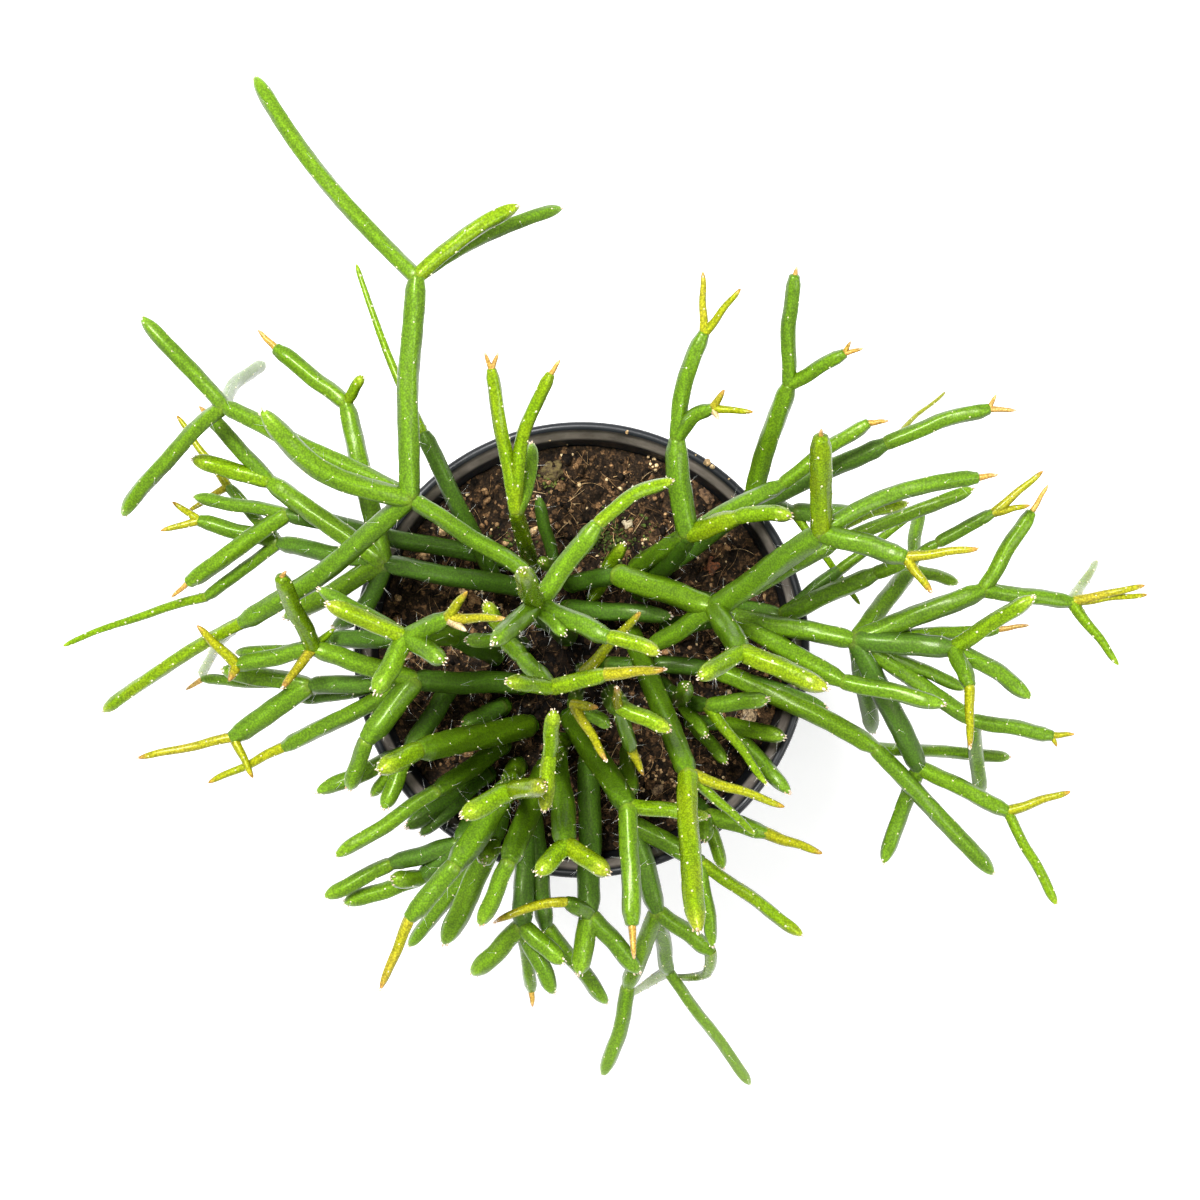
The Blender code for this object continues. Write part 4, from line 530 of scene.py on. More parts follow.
# Pot's section. Each list holds radius and height, counted from a place that pot_profile gives.
POT_TURNS = 144
AXIS_RADIUS = 0.6
FOOT = [(-6, 0.0), (-1.6, 0.0), (-0.6, 0.25), (0, 1.1), (0.25, 2.4)]
STEP_HEIGHT = 1.5
STEP = [(0, -0.3), (0.4, 0)]
COLLAR = [(-3.5, 0.25), (-2.9, 0.5), (-2.75, 1.0)]
UNDER_BEAD = [(-1.5, -2.9), (-1.1, -2.4)]
BEAD_RADIUS = 1.25
BEAD_TURN = (-0.6, 2.5)
BEAD_POINTS = 14
BEHIND_BEAD = [(-2.4, -1.6), (-2.7, -2.1)]
LEDGE_FOOT = [(-4.6, 1.4), (-4.9, 0.8)]
LEDGE_EDGE = [(0.3, 0.3), (0, -0.3)]
FLOOR_FILLET = 0.8
CREASE = 38
DRAIN_SIDES = 32
OVERCUT = 3

# Painted shadow on the mix under the crown, where the stems shade it
CROWN_SHADOW_X = -3.0
CROWN_SHADOW_Y = -5.0
CROWN_SHADOW_NEAR = 9.0
CROWN_SHADOW_FAR = 27.0
CROWN_SHADOW_FACTOR = 0.2

# How far the noise bends the pattern of the crumbs, as a share
BENDING = 0.0006

# Dust, with a painted reflection of the overhead light, on the ledge, counted in from the lip: where it
# starts, is full, is still full and ends,
# how far below the ledge it reaches, and the upward slopes between which it builds up
DUST_SHEEN_START = 2.1
DUST_SHEEN_FULL = 2.9
DUST_SHEEN_STILL_FULL = 4.0
DUST_SHEEN_END = 4.5
DUST_SHEEN_DEPTH = 6
DUST_SHEEN_SLOPES = (0.08, 0.25)

# Colours: the mix by tone, and a shoot and its growing end by age
MIX_TONES = [
    (0.0, "#0b0908"), (0.15, "#261d14"), (0.3, "#523d28"), (0.45, "#836343"), (0.6, "#a8885f"),
    (0.72, "#c9ac80"), (0.82, "#d6bf92"), (0.88, "#59602c"), (1.0, "#38491f"),
]
STEM_TONES = [
    (0.0, "#395f04"), (0.2, "#5a8004"), (0.4, "#6f9103"), (0.6, "#999a12"), (0.8, "#bd9144"),
    (1.0, "#cdb484"),
]
TIP_TONES = [
    (0.0, "#4d7416"), (0.2, "#71981a"), (0.4, "#98b022"), (0.6, "#b07c38"), (0.8, "#cba47c"),
    (1.0, "#dcc8a4"),
]

# Seed of every random draw
SEED = 7

# Camera: its sensor and the width it sees at the rim in millimetres, its reach in metres
SENSOR = 36.0
VIEW_WIDTH = 317.2
VIEW_END = 10

# Floor and lights, in metres and watts
FLOOR_SIZE = 3.0
WORLD_LIGHT = 0.65
FLOOR_GLOW = 0.25
LAMPS = [("softbox", (-0.28, 0.42, 1.2), 0.42, 26.0), ("fill", (0.7, -0.35, 1.1), 0.6, 6.0)]
LAMP_AIM = (0, 0, 0.1)


class Plant:
    """Every joint and shoot of the stems, as arrays that can be moved together."""

    def __init__(self):
        self.drawn = []
        self.free = []
        self.shoots = []
        for stem, entries in STEMS.items():
            self.add_stem(stem, entries)
        self.drawn = np.array(self.drawn, float)
        self.free = np.array(self.free, float)
        self.spots = self.drawn.copy()
        self.lift = np.zeros(len(self.shoots))

    def add_stem(self, stem, entries):
        """Adds the joints of one stem, with a peg below its root."""
        x, y, height, width, age = entries[""][:5]
        foot = len(self.drawn)
        self.add_joint(x, y, -SOIL_DROP - PEG_DEPTH, 0)
        self.add_joint(x, y, height, 0)
        self.add_shoot(stem, "", foot, foot + 1, width, age, 0)
        places = {"": foot + 1}
        for key, entry in entries.items():
            if key == "":
                continue
            x, y, height, width, age = entry[:5]
            bow = entry[5] if len(entry) > 5 else 0
            places[key] = len(self.drawn)
            self.add_joint(x, y, height, 1)
            self.add_shoot(stem, key, places[key[:-1]], places[key], width, age, bow)

    def add_joint(self, x, y, height, free):
        """Adds a joint, which can move if free is 1 and not if it is 0."""
        self.drawn.append((x, y, height))
        self.free.append(free)

    def add_shoot(self, stem, key, start, end, width, age, bow):
        """Adds a shoot; its thickness is seen from the eye, so a low one is truly thicker."""
        radius = width / 2 * (EYE_HEIGHT - self.drawn[end][2]) / EYE_HEIGHT
        self.shoots.append({"stem": stem, "key": key, "start": start, "end": end,
                            "radius": radius, "age": age, "bow": bow})

    def places(self):
        """Where the joints truly are: each on the line of sight along which it is seen."""
        eye = np.array((EYE_X, EYE_Y))
        share = (EYE_HEIGHT - self.spots[:, 2:3]) / EYE_HEIGHT
        level = eye + (self.spots[:, :2] - eye) * share
        # A peg stands upright under its root.
        for shoot in self.shoots:
            if shoot["key"] == "":
                level[shoot["start"]] = level[shoot["end"]]
        return np.column_stack((level, self.spots[:, 2] + POT_HEIGHT))


def sample_plan(plant):
    """Spots along every shoot, close enough together that no other shoot slips between them."""
    joints = plant.places()
    which = []
    along = []
    for index, shoot in enumerate(plant.shoots):
        length = np.linalg.norm(joints[shoot["end"]] - joints[shoot["start"]])
        count = max(3, int(length / SAMPLE_STEP) + 2)
        which += [index] * count
        along += list(np.linspace(0, 1, count))
    return np.array(which), np.array(along)


def side_bows(plant, joints):
    """How far each shoot bows sideways at its middle."""
    starts = np.array([shoot["start"] for shoot in plant.shoots])
    ends = np.array([shoot["end"] for shoot in plant.shoots])
    bows = np.array([shoot["bow"] for shoot in plant.shoots])
    run = joints[ends] - joints[starts]
    size = np.maximum(np.hypot(run[:, 0], run[:, 1]), 1e-6)
    return np.column_stack((-run[:, 1] / size * bows, run[:, 0] / size * bows, plant.lift))


def sample_points(plant, which, along):
    """Where the spots along the shoots are now."""
    joints = plant.places()
    starts = np.array([shoot["start"] for shoot in plant.shoots])[which]
    ends = np.array([shoot["end"] for shoot in plant.shoots])[which]
    bows = side_bows(plant, joints)[which]
    t = along[:, None]
    return joints[starts] * (1 - t) + joints[ends] * t + 4 * t * (1 - t) * bows


def near_pairs(plant, which, points, radii):
    """Pairs of spots that are close, on shoots that don't share a joint."""
    starts = np.array([shoot["start"] for shoot in plant.shoots])[which]
    ends = np.array([shoot["end"] for shoot in plant.shoots])[which]
    pairs = []
    for i in range(len(points)):
        gaps = points[i + 1:] - points[i]
        close = (gaps ** 2).sum(axis=1) < (radii[i + 1:] + radii[i] + NEAR) ** 2
        for j in np.nonzero(close)[0] + i + 1:
            if not {starts[i], ends[i]} & {starts[j], ends[j]}:
                pairs.append((i, j))
    return np.array(pairs)


def contact_moves(points, radii, pairs):
    """How far each spot must move to clear the others, more up and down than sideways."""
    first, second = pairs[:, 0], pairs[:, 1]
    gap = points[second] - points[first]
    gap[:, 2] += np.where(np.abs(gap[:, 2]) < NUDGE, NUDGE, 0)
    size = np.linalg.norm(gap, axis=1)
    lack = radii[first] + radii[second] + CLEARANCE - size
    touching = lack > 0
    first, second, gap, lack = first[touching], second[touching], gap[touching], lack[touching]
    heading = gap * np.array((SIDE_SHARE, SIDE_SHARE, 1))
    heading /= np.linalg.norm(heading, axis=1)[:, None]
    push = heading * (lack / 2 + OVERPUSH)[:, None]
    moves = np.zeros_like(points)
    count = np.zeros(len(points))
    np.add.at(moves, first, -push)
    np.add.at(moves, second, push)
    np.add.at(count, first, 1)
    np.add.at(count, second, 1)
    return moves / np.maximum(count, 1)[:, None], count > 0


def ground_moves(points, radii):
    """How far each spot must rise to clear the mix, the pot's rim and the ground."""
    reach = np.hypot(points[:, 0], points[:, 1])
    floor = np.full(len(points), OVER_GROUND)
    floor[reach < SOIL_RADIUS + GAP] = POT_HEIGHT - SOIL_DROP + SOIL_BUMP + OVER_MIX
    over_rim = (reach > SOIL_RADIUS - RIM_MARGIN - radii) & (reach < LIP_RADIUS + RIM_MARGIN + radii)
    floor[over_rim] = POT_HEIGHT + OVER_RIM
    return np.maximum(floor + radii - points[:, 2], 0)


def spread_moves(plant, which, along, moves, active):
    """Hands the moves of the spots on to the joints and the arch of their shoots."""
    starts = np.array([shoot["start"] for shoot in plant.shoots])[which]
    ends = np.array([shoot["end"] for shoot in plant.shoots])[which]
    total = np.zeros_like(plant.spots)
    weight = np.zeros(len(plant.spots))
    for joint, share in ((starts, 1 - along), (ends, along)):
        share = share * active
        np.add.at(total, joint, moves * share[:, None])
        np.add.at(weight, joint, share)
    plant.spots += EASE * total / np.maximum(weight, LEAST_WEIGHT)[:, None] * plant.free[:, None]
    arch = 4 * along * (1 - along) * active
    rise = np.zeros(len(plant.lift))
    amount = np.zeros(len(plant.lift))
    np.add.at(rise, which, moves[:, 2] * arch)
    np.add.at(amount, which, arch)
    pegs = np.array([shoot["key"] != "" for shoot in plant.shoots])
    plant.lift += EASE * rise / np.maximum(amount, LEAST_WEIGHT) * pegs


def settle(plant):
    """Moves the joints a little until no shoot runs through another, the mix or the pot."""
    which, along = sample_plan(plant)
    radii = np.array([shoot["radius"] for shoot in plant.shoots])[which]
    pegs = np.array([shoot["key"] == "" for shoot in plant.shoots])[which]
    for step in range(SETTLE_ROUNDS):
        points = sample_points(plant, which, along)
        if step % PAIR_ROUNDS == 0:
            pairs = near_pairs(plant, which, points, radii)
        moves, active = contact_moves(points, radii, pairs)
        rise = ground_moves(points, radii)
        rise[pegs] = 0
        moves[:, 2] += rise
        active = active | (rise > 0)
        spread_moves(plant, which, along, moves, active)
        if step < PULL_ROUNDS:
            plant.spots += PULL_BACK * (plant.drawn - plant.spots)
            plant.lift *= 1 - PULL_BACK


def smooth(x):
    """Runs from 0 to 1 with soft ends."""
    x = np.clip(x, 0.0, 1.0)
    return x * x * (3 - 2 * x)


def unit(v):
    """Vectors brought to length one."""
    return v / np.maximum(np.linalg.norm(v, axis=-1, keepdims=True), 1e-9)


def circle(sides):
    """Even turns round a circle."""
    return np.linspace(0, 2 * np.pi, sides, endpoint=False)


def link(name, data):
    """Puts a new object into the scene."""
    thing = bpy.data.objects.new(name, data)
    bpy.context.scene.collection.objects.link(thing)
    return thing


def mesh_of(name, body):
    """Turns a finished bmesh into a mesh."""
    mesh = bpy.data.meshes.new(name)
    body.to_mesh(mesh)
    body.free()
    return mesh


class Skin:
    """Gathers the points, faces and looks of one piece, in millimetres."""

    field_names = ("tone", "tip", "pale", "neck", "lift", "sun")

    def __init__(self):
        self.points = []
        self.faces = []
        self.slots = []
        self.fields = {}
        self.count = 0

    def add(self, points, faces, slot, **fields):
        """Adds some faces on points of their own; a field is one value or one for each point."""
        self.points.append(points)
        for face in faces:
            self.faces += (np.asarray(face) + self.count).tolist()
            self.slots += [slot] * len(face)
        for name in self.field_names:
            value = fields.get(name, 0.0)
            self.fields.setdefault(name, []).append(np.broadcast_to(value, (len(points),)))
        self.count += len(points)

    def make(self, name, materials):
        """Turns what was gathered into an object."""
        mesh = bpy.data.meshes.new(name)
        mesh.from_pydata((np.concatenate(self.points) * MM).tolist(), [], self.faces)
        for field, values in self.fields.items():
            mesh.attributes.new(field, "FLOAT", "POINT").data.foreach_set("value", np.concatenate(values))
        for material in materials:
            mesh.materials.append(material)
        mesh.polygons.foreach_set("material_index", self.slots)
        mesh.shade_smooth()
        return link(name, mesh)


def lengthwise_frames(line):
    """For each point of a line, the directions along it, across it and square to both."""
    along = unit(np.gradient(line, axis=0))
    middle = along[len(along) // 2]
    across = unit(np.cross(along, UP_GUIDE if abs(middle[2]) < STEEP else LEVEL_GUIDE))
    return along, across, np.cross(across, along)


def tube(line, radii):
    """Points and faces of a closed tube; radii has one row for each point of the line."""
    _, across, square = lengthwise_frames(line)
    rings, sides = radii.shape
    angle = circle(sides)[None, :, None]
    out = np.cos(angle) * across[:, None] + np.sin(angle) * square[:, None]
    points = (line[:, None] + radii[:, :, None] * out).reshape(-1, 3)
    points = np.vstack((points, line[0], line[-1]))
    ring = np.arange(rings - 1)[:, None] * sides
    side = np.arange(sides)
    after = (side + 1) % sides
    corners = (ring + side, ring + after, ring + sides + after, ring + sides + side)
    quads = np.stack(corners, -1).reshape(-1, 4)
    last = (rings - 1) * sides
    start_fan = np.stack((after, side, np.full(sides, rings * sides)), -1)
    end_fan = np.stack((last + side, last + after, np.full(sides, rings * sides + 1)), -1)
    return points, (quads, start_fan, end_fan)


def shoot_profile(shoot, travel, length, tip):
    """The share of its full thickness that a shoot has along its length."""
    radius = shoot["radius"]
    way = (travel / length).clip(0, 1)
    if shoot["key"] == "":
        return np.ones_like(travel)
    if tip and radius * 2 < SPRIG_WIDTH:
        taper = SPRIG_BASE + (SPRIG_END - SPRIG_BASE) * way
        rise = (travel + SPRIG_BACK * radius) / (SPRIG_NECK_REACH * radius)
        start = SPRIG_NECK + SPRIG_SWELL * smooth(rise)
        point = SPRIG_POINT * radius
        round_end = np.sqrt(np.clip(1 - ((travel - length + point) / point).clip(0, 1) ** 2, LEAST_POINT, 1))
        return taper * start * round_end
    base = (1 - (travel + BACK * radius) / (NECK_REACH * radius)).clip(0, 1)
    start = NECK + (1 - NECK) * np.sqrt(1 - base ** 2)
    belly = 1.0 + BELLY * np.sin(np.pi * way)
    if tip:
        reach = END_REACH * radius * min(1.0, max(END_SHORTEST, length / (LONG_SHOOT * radius)))
        blunt = ((travel - length + reach) / reach).clip(0, 1)
        taper = 1.0 - NEW_TAPER * way if shoot["age"] == NEW else 1.0
        return start * belly * taper * np.clip(1 - blunt ** END_CURVE, LEAST_END, 1) ** END_FULLNESS
    narrowing = WAIST_REACH * radius
    waist = 1.0 - (1 - WAIST) * smooth((travel - length + narrowing) / narrowing)
    cap = np.sqrt(np.clip(1 - ((travel - length) / (CAP_REACH * radius)).clip(0, 1) ** 2, LEAST_CAP, 1))
    return start * belly * waist * cap


def add_shoot_skin(skin, shoot, start, end, bow, tip, phase):
    """Adds one shoot and gives back what its woolly spots need."""
    radius = shoot["radius"]
    length = np.linalg.norm(end - start)
    rings = int(np.clip(RINGS_AT_LEAST + length / RING_STEP, RINGS_AT_LEAST + 1, RINGS_AT_MOST))
    sides = SIDES if radius > THIN_RADIUS else THIN_SIDES
    first = -BACK * radius
    last = length if tip else length + OVERRUN * radius
    travel = first + (last - first) * (0.5 - 0.5 * np.cos(np.linspace(0, np.pi, rings)))
    t = travel[:, None] / length
    line = start * (1 - t) + end * t + 4 * t * (1 - t) * bow
    sway = SWAY * min(1.0, length / SWAY_LENGTH) * np.sin(np.pi * np.clip(t, 0, 1))
    sway = sway * np.sin(2 * np.pi * t * SWAY_TURNS + phase)
    _, across, square = lengthwise_frames(line)
    line = line + sway * (across * math.cos(phase) + square * math.sin(phase))
    angle = circle(sides)[None]
    fold = RIDGES * (angle - RIDGE_TWIST * travel[:, None])
    ridge = RIDGE_SHARE[shoot["age"]] * np.cos(fold)
    uneven = UNEVEN * np.sin(travel[:, None] * UNEVEN_PITCH + phase + 2 * np.sin(angle + phase))
    share = shoot_profile(shoot, travel, length, tip)
    radii = radius * share[:, None] * (1 + ridge + uneven)
    points, faces = tube(line, radii)
    growing = TIP_REACH * radius
    to_end = smooth((travel - length + growing) / growing) if tip else travel * 0
    neck = 1 - smooth(travel / (SCAR_REACH * radius))
    # Painted haze: low shoots beyond the rim are lightened towards pale green, as if washed out by the glare
    # of the white floor.
    drop = (POT_HEIGHT + PALE_FROM - points[:, 2]) / PALE_DEPTH
    reach = np.hypot(points[:, 0], points[:, 1])
    facing = (points[:-2].reshape(rings, sides, 3) - line[:, None])[..., 2] / radii
    skin.add(
        points, faces, 0,
        tone=shoot["age"] / HUSK + TONE_SPREAD * math.sin(phase * TONE_PITCH),
        tip=np.append(np.repeat(to_end, sides), (0, 1.0 if tip else 0)),
        neck=np.append(np.repeat(neck, sides), (1, 0)),
        pale=np.where(reach > LIP_RADIUS - PALE_MARGIN, np.clip(drop, 0, 1), 0),
        lift=np.append((np.cos(fold) * 0.5 + 0.5).reshape(-1), (0.5, 0.5)),
        sun=np.append(np.clip(facing, 0, 1).reshape(-1), (0, 0)))
    return line, travel, share * radius, length


def spot_places(shoot, line, travel, radii, length, tip, phase):
    """Where the woolly spots sit: place, outward direction, direction along, size, and 1 on a crown."""
    radius = shoot["radius"]
    stations = np.array([])
    if length > BARE_LENGTH * radius:
        stations = np.arange(FIRST_SPOT * radius, length - LAST_SPOT * radius, SPOT_SPACING[shoot["age"]])
    number = np.arange(len(stations))
    turn = RIDGE_TWIST * stations + 2 * np.pi / RIDGES * (RIDGES_SKIPPED * number % RIDGES)
    size = SPOT_SIZE[shoot["age"]] * (SPOT_LEAST + SPOT_VARY * np.sin(number * SPOT_PITCH + phase) ** 2)
    crown = np.zeros(len(stations))
    if tip and radius > CROWN_RADIUS:
        order = np.arange(CROWN_SPOTS)
        depth = CROWN_TOP + CROWN_DEPTH * (order / CROWN_SPOTS) ** CROWN_CROWDING
        stations = np.append(stations, length - radius * depth)
        turn = np.append(turn, order * SPOT_PITCH + phase)
        size = np.append(size, CROWN_SIZE * radius * (CROWN_LARGEST - CROWN_SHRINK * order / CROWN_SPOTS))
        crown = np.append(crown, np.ones(CROWN_SPOTS))
    if not len(stations):
        return np.zeros((0, 3)), np.zeros((0, 3)), np.zeros((0, 3)), np.zeros(0), crown
    middle, along, across, square = [
        np.array([np.interp(stations, travel, part[:, i]) for i in range(3)]).T
        for part in (line, *lengthwise_frames(line))]
    radial = unit(np.cos(turn)[:, None] * across + np.sin(turn)[:, None] * square)
    around = np.interp(stations, travel, radii)
    lean = np.interp(stations, travel, np.gradient(radii, travel))
    outward = unit(radial - np.clip(lean, -STEEPEST, STEEPEST)[:, None] * along)
    places = middle + radial * (around * (1 + RIDGE_SHARE[shoot["age"]]))[:, None]
    return places, outward, unit(along), size, crown


def add_spots(skin, places, outward, along, size, crown):
    """Adds the small woolly domes, each a ring with a top and a root below the skin."""
    side = np.cross(outward, along)
    angle = circle(SPOT_SIDES)[None, :, None]
    ring = np.cos(angle) * along[:, None] * SPOT_STRETCH + np.sin(angle) * side[:, None]
    ring = places[:, None] + ring * size[:, None, None]
    top = places + outward * (size * SPOT_RISE)[:, None]
    root = places - outward * (size * SPOT_ROOT)[:, None]
    points = np.concatenate((ring, top[:, None], root[:, None]), axis=1).reshape(-1, 3)
    base = np.arange(len(places))[:, None] * (SPOT_SIDES + 2)
    here = np.arange(SPOT_SIDES)[None]
    after = (here + 1) % SPOT_SIDES
    upper = np.stack((base + here, base + after, base + SPOT_SIDES + here * 0), -1).reshape(-1, 3)
    lower = np.stack((base + after, base + here, base + SPOT_SIDES + 1 + here * 0), -1).reshape(-1, 3)
    skin.add(points, (upper, lower), 1, tip=np.repeat(crown, SPOT_SIDES + 2))


def add_bristles(skin, rng, places, outward, along, age):
    """Adds fine white bristles that spread from each woolly spot."""
    count = BRISTLES[age]
    if not count or not len(places):
        return
    places, outward, along = [np.repeat(part, count, axis=0) for part in (places, outward, along)]
    side = np.cross(outward, along)
    spread = rng.normal(0, BRISTLE_SPREAD, (len(places), 2))
    heading = unit(outward + along * (BRISTLE_LEAN + spread[:, :1]) + side * spread[:, 1:])
    length = BRISTLE_LENGTH[age] * rng.uniform(*BRISTLE_RANGE, len(places))[:, None]
    bend = unit(heading + rng.normal(0, BRISTLE_BEND, heading.shape))
    middle = places + heading * length * BRISTLE_LOWER
    end = middle + bend * length * BRISTLE_UPPER
    square = unit(np.cross(heading, BRISTLE_GUIDE))
    other = np.cross(heading, square)
    foot = places - heading * BRISTLE_SUNK
    points = []
    for centre, thick in ((foot, BRISTLE_RADIUS), (middle, BRISTLE_RADIUS * BRISTLE_THINNING)):
        for turn in BRISTLE_TURNS:
            points.append(centre + thick * (math.cos(turn) * square + math.sin(turn) * other))
    points.append(end)
    base = np.arange(len(places))[:, None] * len(points)
    walls = [(0, 1, 4, 3), (1, 2, 5, 4), (2, 0, 3, 5)]
    ends = [(2, 1, 0), (3, 4, 6), (4, 5, 6), (5, 3, 6)]
    quads, tris = [np.concatenate([base + np.array(face) for face in faces]) for faces in (walls, ends)]
    skin.add(np.stack(points, axis=1).reshape(-1, 3), (quads, tris), 2)


def make_stem(stem, plant, joints, bows, parents, looks, rng):
    """One rooted stem: its shoots, their woolly spots and their bristles."""
    skin = Skin()
    for index, shoot in enumerate(plant.shoots):
        if shoot["stem"] != stem:
            continue
        start = joints[shoot["start"]]
        end = joints[shoot["end"]]
        tip = shoot["end"] not in parents
        phase = (shoot["end"] * PHASE_STEP) % (2 * math.pi)
        line, travel, radii, length = add_shoot_skin(skin, shoot, start, end, bows[index], tip, phase)
        if shoot["key"] == "":
            continue
        places, outward, along, size, crown = spot_places(shoot, line, travel, radii, length, tip, phase)
        if len(places):
            add_spots(skin, places, outward, along, size, crown)
            side = crown == 0
            add_bristles(skin, rng, places[side], outward[side], along[side], shoot["age"])
    return skin.make(stem + ".skin", looks)


def disc_points(count, radius):
    """A square net of points pressed into a disc, with even spacing."""
    u, v = np.meshgrid(np.linspace(-1, 1, count), np.linspace(-1, 1, count), indexing="ij")
    wide = np.abs(u) > np.abs(v)
    reach = np.where(wide, u, v)
    other = np.where(wide, v, u)
    turn = np.pi / 4 * np.divide(other, reach, out=np.zeros_like(u), where=reach != 0)
    x = np.where(wide, reach * np.cos(turn), reach * np.sin(turn))
    y = np.where(wide, reach * np.sin(turn), reach * np.cos(turn))
    return x * radius, y * radius


def mix_height(x, y):
    """The height of the mix at a spot: broad mounds, clods and grit."""
    mound = noise.noise(Vector((x, y, 0)) / SOIL_PATCH)
    clod = noise.turbulence(Vector((x, y, CLOD_LAYER)) / CLOD, CLOD_OCTAVES, False)
    return POT_HEIGHT - SOIL_DROP + SOIL_BUMP * mound + CLOD_RISE * (clod - 0.5)


def mix_heights(x, y):
    """The height of the mix at each of many spots."""
    return np.array([mix_height(a, b) for a, b in zip(x, y)])


def wall_radius(z):
    """The inside radius of the pot's wall at a height."""
    share = (z - FLOOR) / (LEDGE_HEIGHT - FLOOR)
    return BASE_RADIUS - WALL + share * (SOIL_RADIUS + GAP - BASE_RADIUS + WALL)


def add_mix_body(skin):
    """The body of the mix: an uneven top over straight sides."""
    top = wall_radius(POT_HEIGHT - SOIL_DROP) - GAP
    x, y = disc_points(MIX_NET, top)
    points = np.stack((x.ravel(), y.ravel(), mix_heights(x.ravel(), y.ravel())), -1)
    index = np.arange(MIX_NET * MIX_NET).reshape(MIX_NET, MIX_NET)
    quads = np.stack((index[:-1, :-1], index[1:, :-1], index[1:, 1:], index[:-1, 1:]), -1).reshape(-1, 4)
    rim = np.concatenate((index[:-1, 0], index[-1, :-1], index[:0:-1, -1], index[0, :0:-1]))
    below = points[rim].copy()
    bottom = FLOOR + GAP
    below[:, :2] *= (wall_radius(bottom) - GAP) / top
    below[:, 2] = bottom
    low = len(points) + np.arange(len(rim))
    after = np.roll(np.arange(len(rim)), -1)
    walls = np.stack((rim[after], rim, low, low[after]), -1)
    middle = len(points) + len(rim)
    fan = np.stack((low[after], low, np.full(len(rim), middle)), -1)
    points = np.vstack((points, below, (0, 0, bottom)))
    skin.add(points, (quads, walls, fan), 0, tone=MIX_TONE)


def lump_shape():
    """The corners and faces of a small faceted ball."""
    ball = bmesh.new()
    bmesh.ops.create_icosphere(ball, subdivisions=1, radius=1)
    corners = np.array([v.co[:] for v in ball.verts])
    faces = np.array([[v.index for v in f.verts] for f in ball.faces])
    ball.free()
    return corners, faces


def add_crumbs(skin, rng, places, sizes, tones):
    """Scatters uneven lumps, each turned and squashed in its own way."""
    corners, faces = lump_shape()
    count = len(places)
    rough = corners[None] * rng.uniform(*CRUMB_ROUGHNESS, (count, len(corners), 1))
    rough = rough * rng.uniform(*CRUMB_STRETCH, (count, 1, 3)) * np.array((1, 1, CRUMB_FLATNESS))
    spin = rng.uniform(0, 2 * np.pi, count)
    cos = np.cos(spin)[:, None]
    sin = np.sin(spin)[:, None]
    x = rough[:, :, 0] * cos - rough[:, :, 1] * sin
    y = rough[:, :, 0] * sin + rough[:, :, 1] * cos
    points = np.stack((x, y, rough[:, :, 2]), -1) * sizes[:, None, None] + places[:, None]
    base = np.arange(count)[:, None, None] * len(corners)
    lumps = (faces[None] + base).reshape(-1, 3)
    skin.add(points.reshape(-1, 3), (lumps,), 0, tone=np.repeat(tones, len(corners)))


def scatter_on_mix(rng, count, reach):
    """Random places on top of the mix."""
    radius = reach * np.sqrt(rng.uniform(0, 1, count))
    turn = rng.uniform(0, 2 * np.pi, count)
    x = radius * np.cos(turn)
    y = radius * np.sin(turn)
    return np.stack((x, y, mix_heights(x, y)), -1)


def add_fibres(skin, rng):
    """Fine roots and peat fibres that lie over the mix."""
    steps = np.linspace(0, 1, FIBRE_STEPS)
    for place in scatter_on_mix(rng, FIBRES, SOIL_RADIUS - FIBRE_MARGIN):
        size = rng.uniform(*FIBRE_LENGTH)
        turn = rng.uniform(0, 2 * np.pi)
        heading = turn + rng.uniform(-FIBRE_CURL, FIBRE_CURL) * steps
        run = np.stack((np.cos(heading), np.sin(heading)), -1) * size / FIBRE_STEPS
        line = np.column_stack((place[:2] + np.cumsum(run, axis=0), np.zeros(FIBRE_STEPS)))
        reach = np.hypot(line[:, 0], line[:, 1])
        line[:, :2] *= np.minimum(1, (SOIL_RADIUS - FIBRE_END_MARGIN) / np.maximum(reach, 1))[:, None]
        arch = rng.uniform(*FIBRE_ARCH) * np.sin(np.pi * steps)
        line[:, 2] = mix_heights(line[:, 0], line[:, 1]) + FIBRE_LIFT + arch
        thick = rng.uniform(*FIBRE_RADIUS) * (1 - FIBRE_TAPER * steps)
        points, faces = tube(line, np.repeat(thick[:, None], FIBRE_SIDES, axis=1))
        skin.add(points, faces, 0, tone=rng.choice(FIBRE_TONES, p=FIBRE_ODDS))


def make_mix(looks, rng):
    """The mix with its crumbs and fibres."""
    skin = Skin()
    add_mix_body(skin)
    for count, low, high, tones, odds in CRUMB_KINDS:
        places = scatter_on_mix(rng, count, SOIL_RADIUS - CRUMB_MARGIN - high)
        sizes = low + (high - low) * rng.uniform(0, 1, count) ** FINE_BIAS
        places[:, 2] += sizes * CRUMB_LIFT
        add_crumbs(skin, rng, places, sizes, rng.choice(tones, count, p=odds))
    for x, y, reach, count, tone in PATCHES:
        spots = rng.normal(0, reach / 2, (count, 2)) + (x, y)
        places = np.column_stack((spots, mix_heights(spots[:, 0], spots[:, 1]) + PATCH_LIFT))
        sizes = rng.uniform(*PATCH_SIZES, count)
        add_crumbs(skin, rng, places, sizes, tone + rng.uniform(-PATCH_SPREAD, PATCH_SPREAD, count))
    add_fibres(skin, rng)
    return skin.make("soil.crumbs", looks)


def make_rim_crumbs(looks, rng):
    """The few crumbs that lie on the ledge inside the lip."""
    skin = Skin()
    x, y, sizes = np.array(RIM_CRUMBS).T
    inside = np.maximum(0, LIP_RADIUS - LIP_WIDTH - np.hypot(x, y)) / SLOPE_WIDTH
    depth = inside * (POT_HEIGHT - LEDGE_HEIGHT - SLOPE_FOOT)
    places = np.column_stack((x, y, POT_HEIGHT - depth + sizes * CRUMB_LIFT))
    add_crumbs(skin, rng, places, sizes, rng.choice(RIM_CRUMB_TONES, len(sizes)))
    return skin.make("crumbs_on_rim", looks)


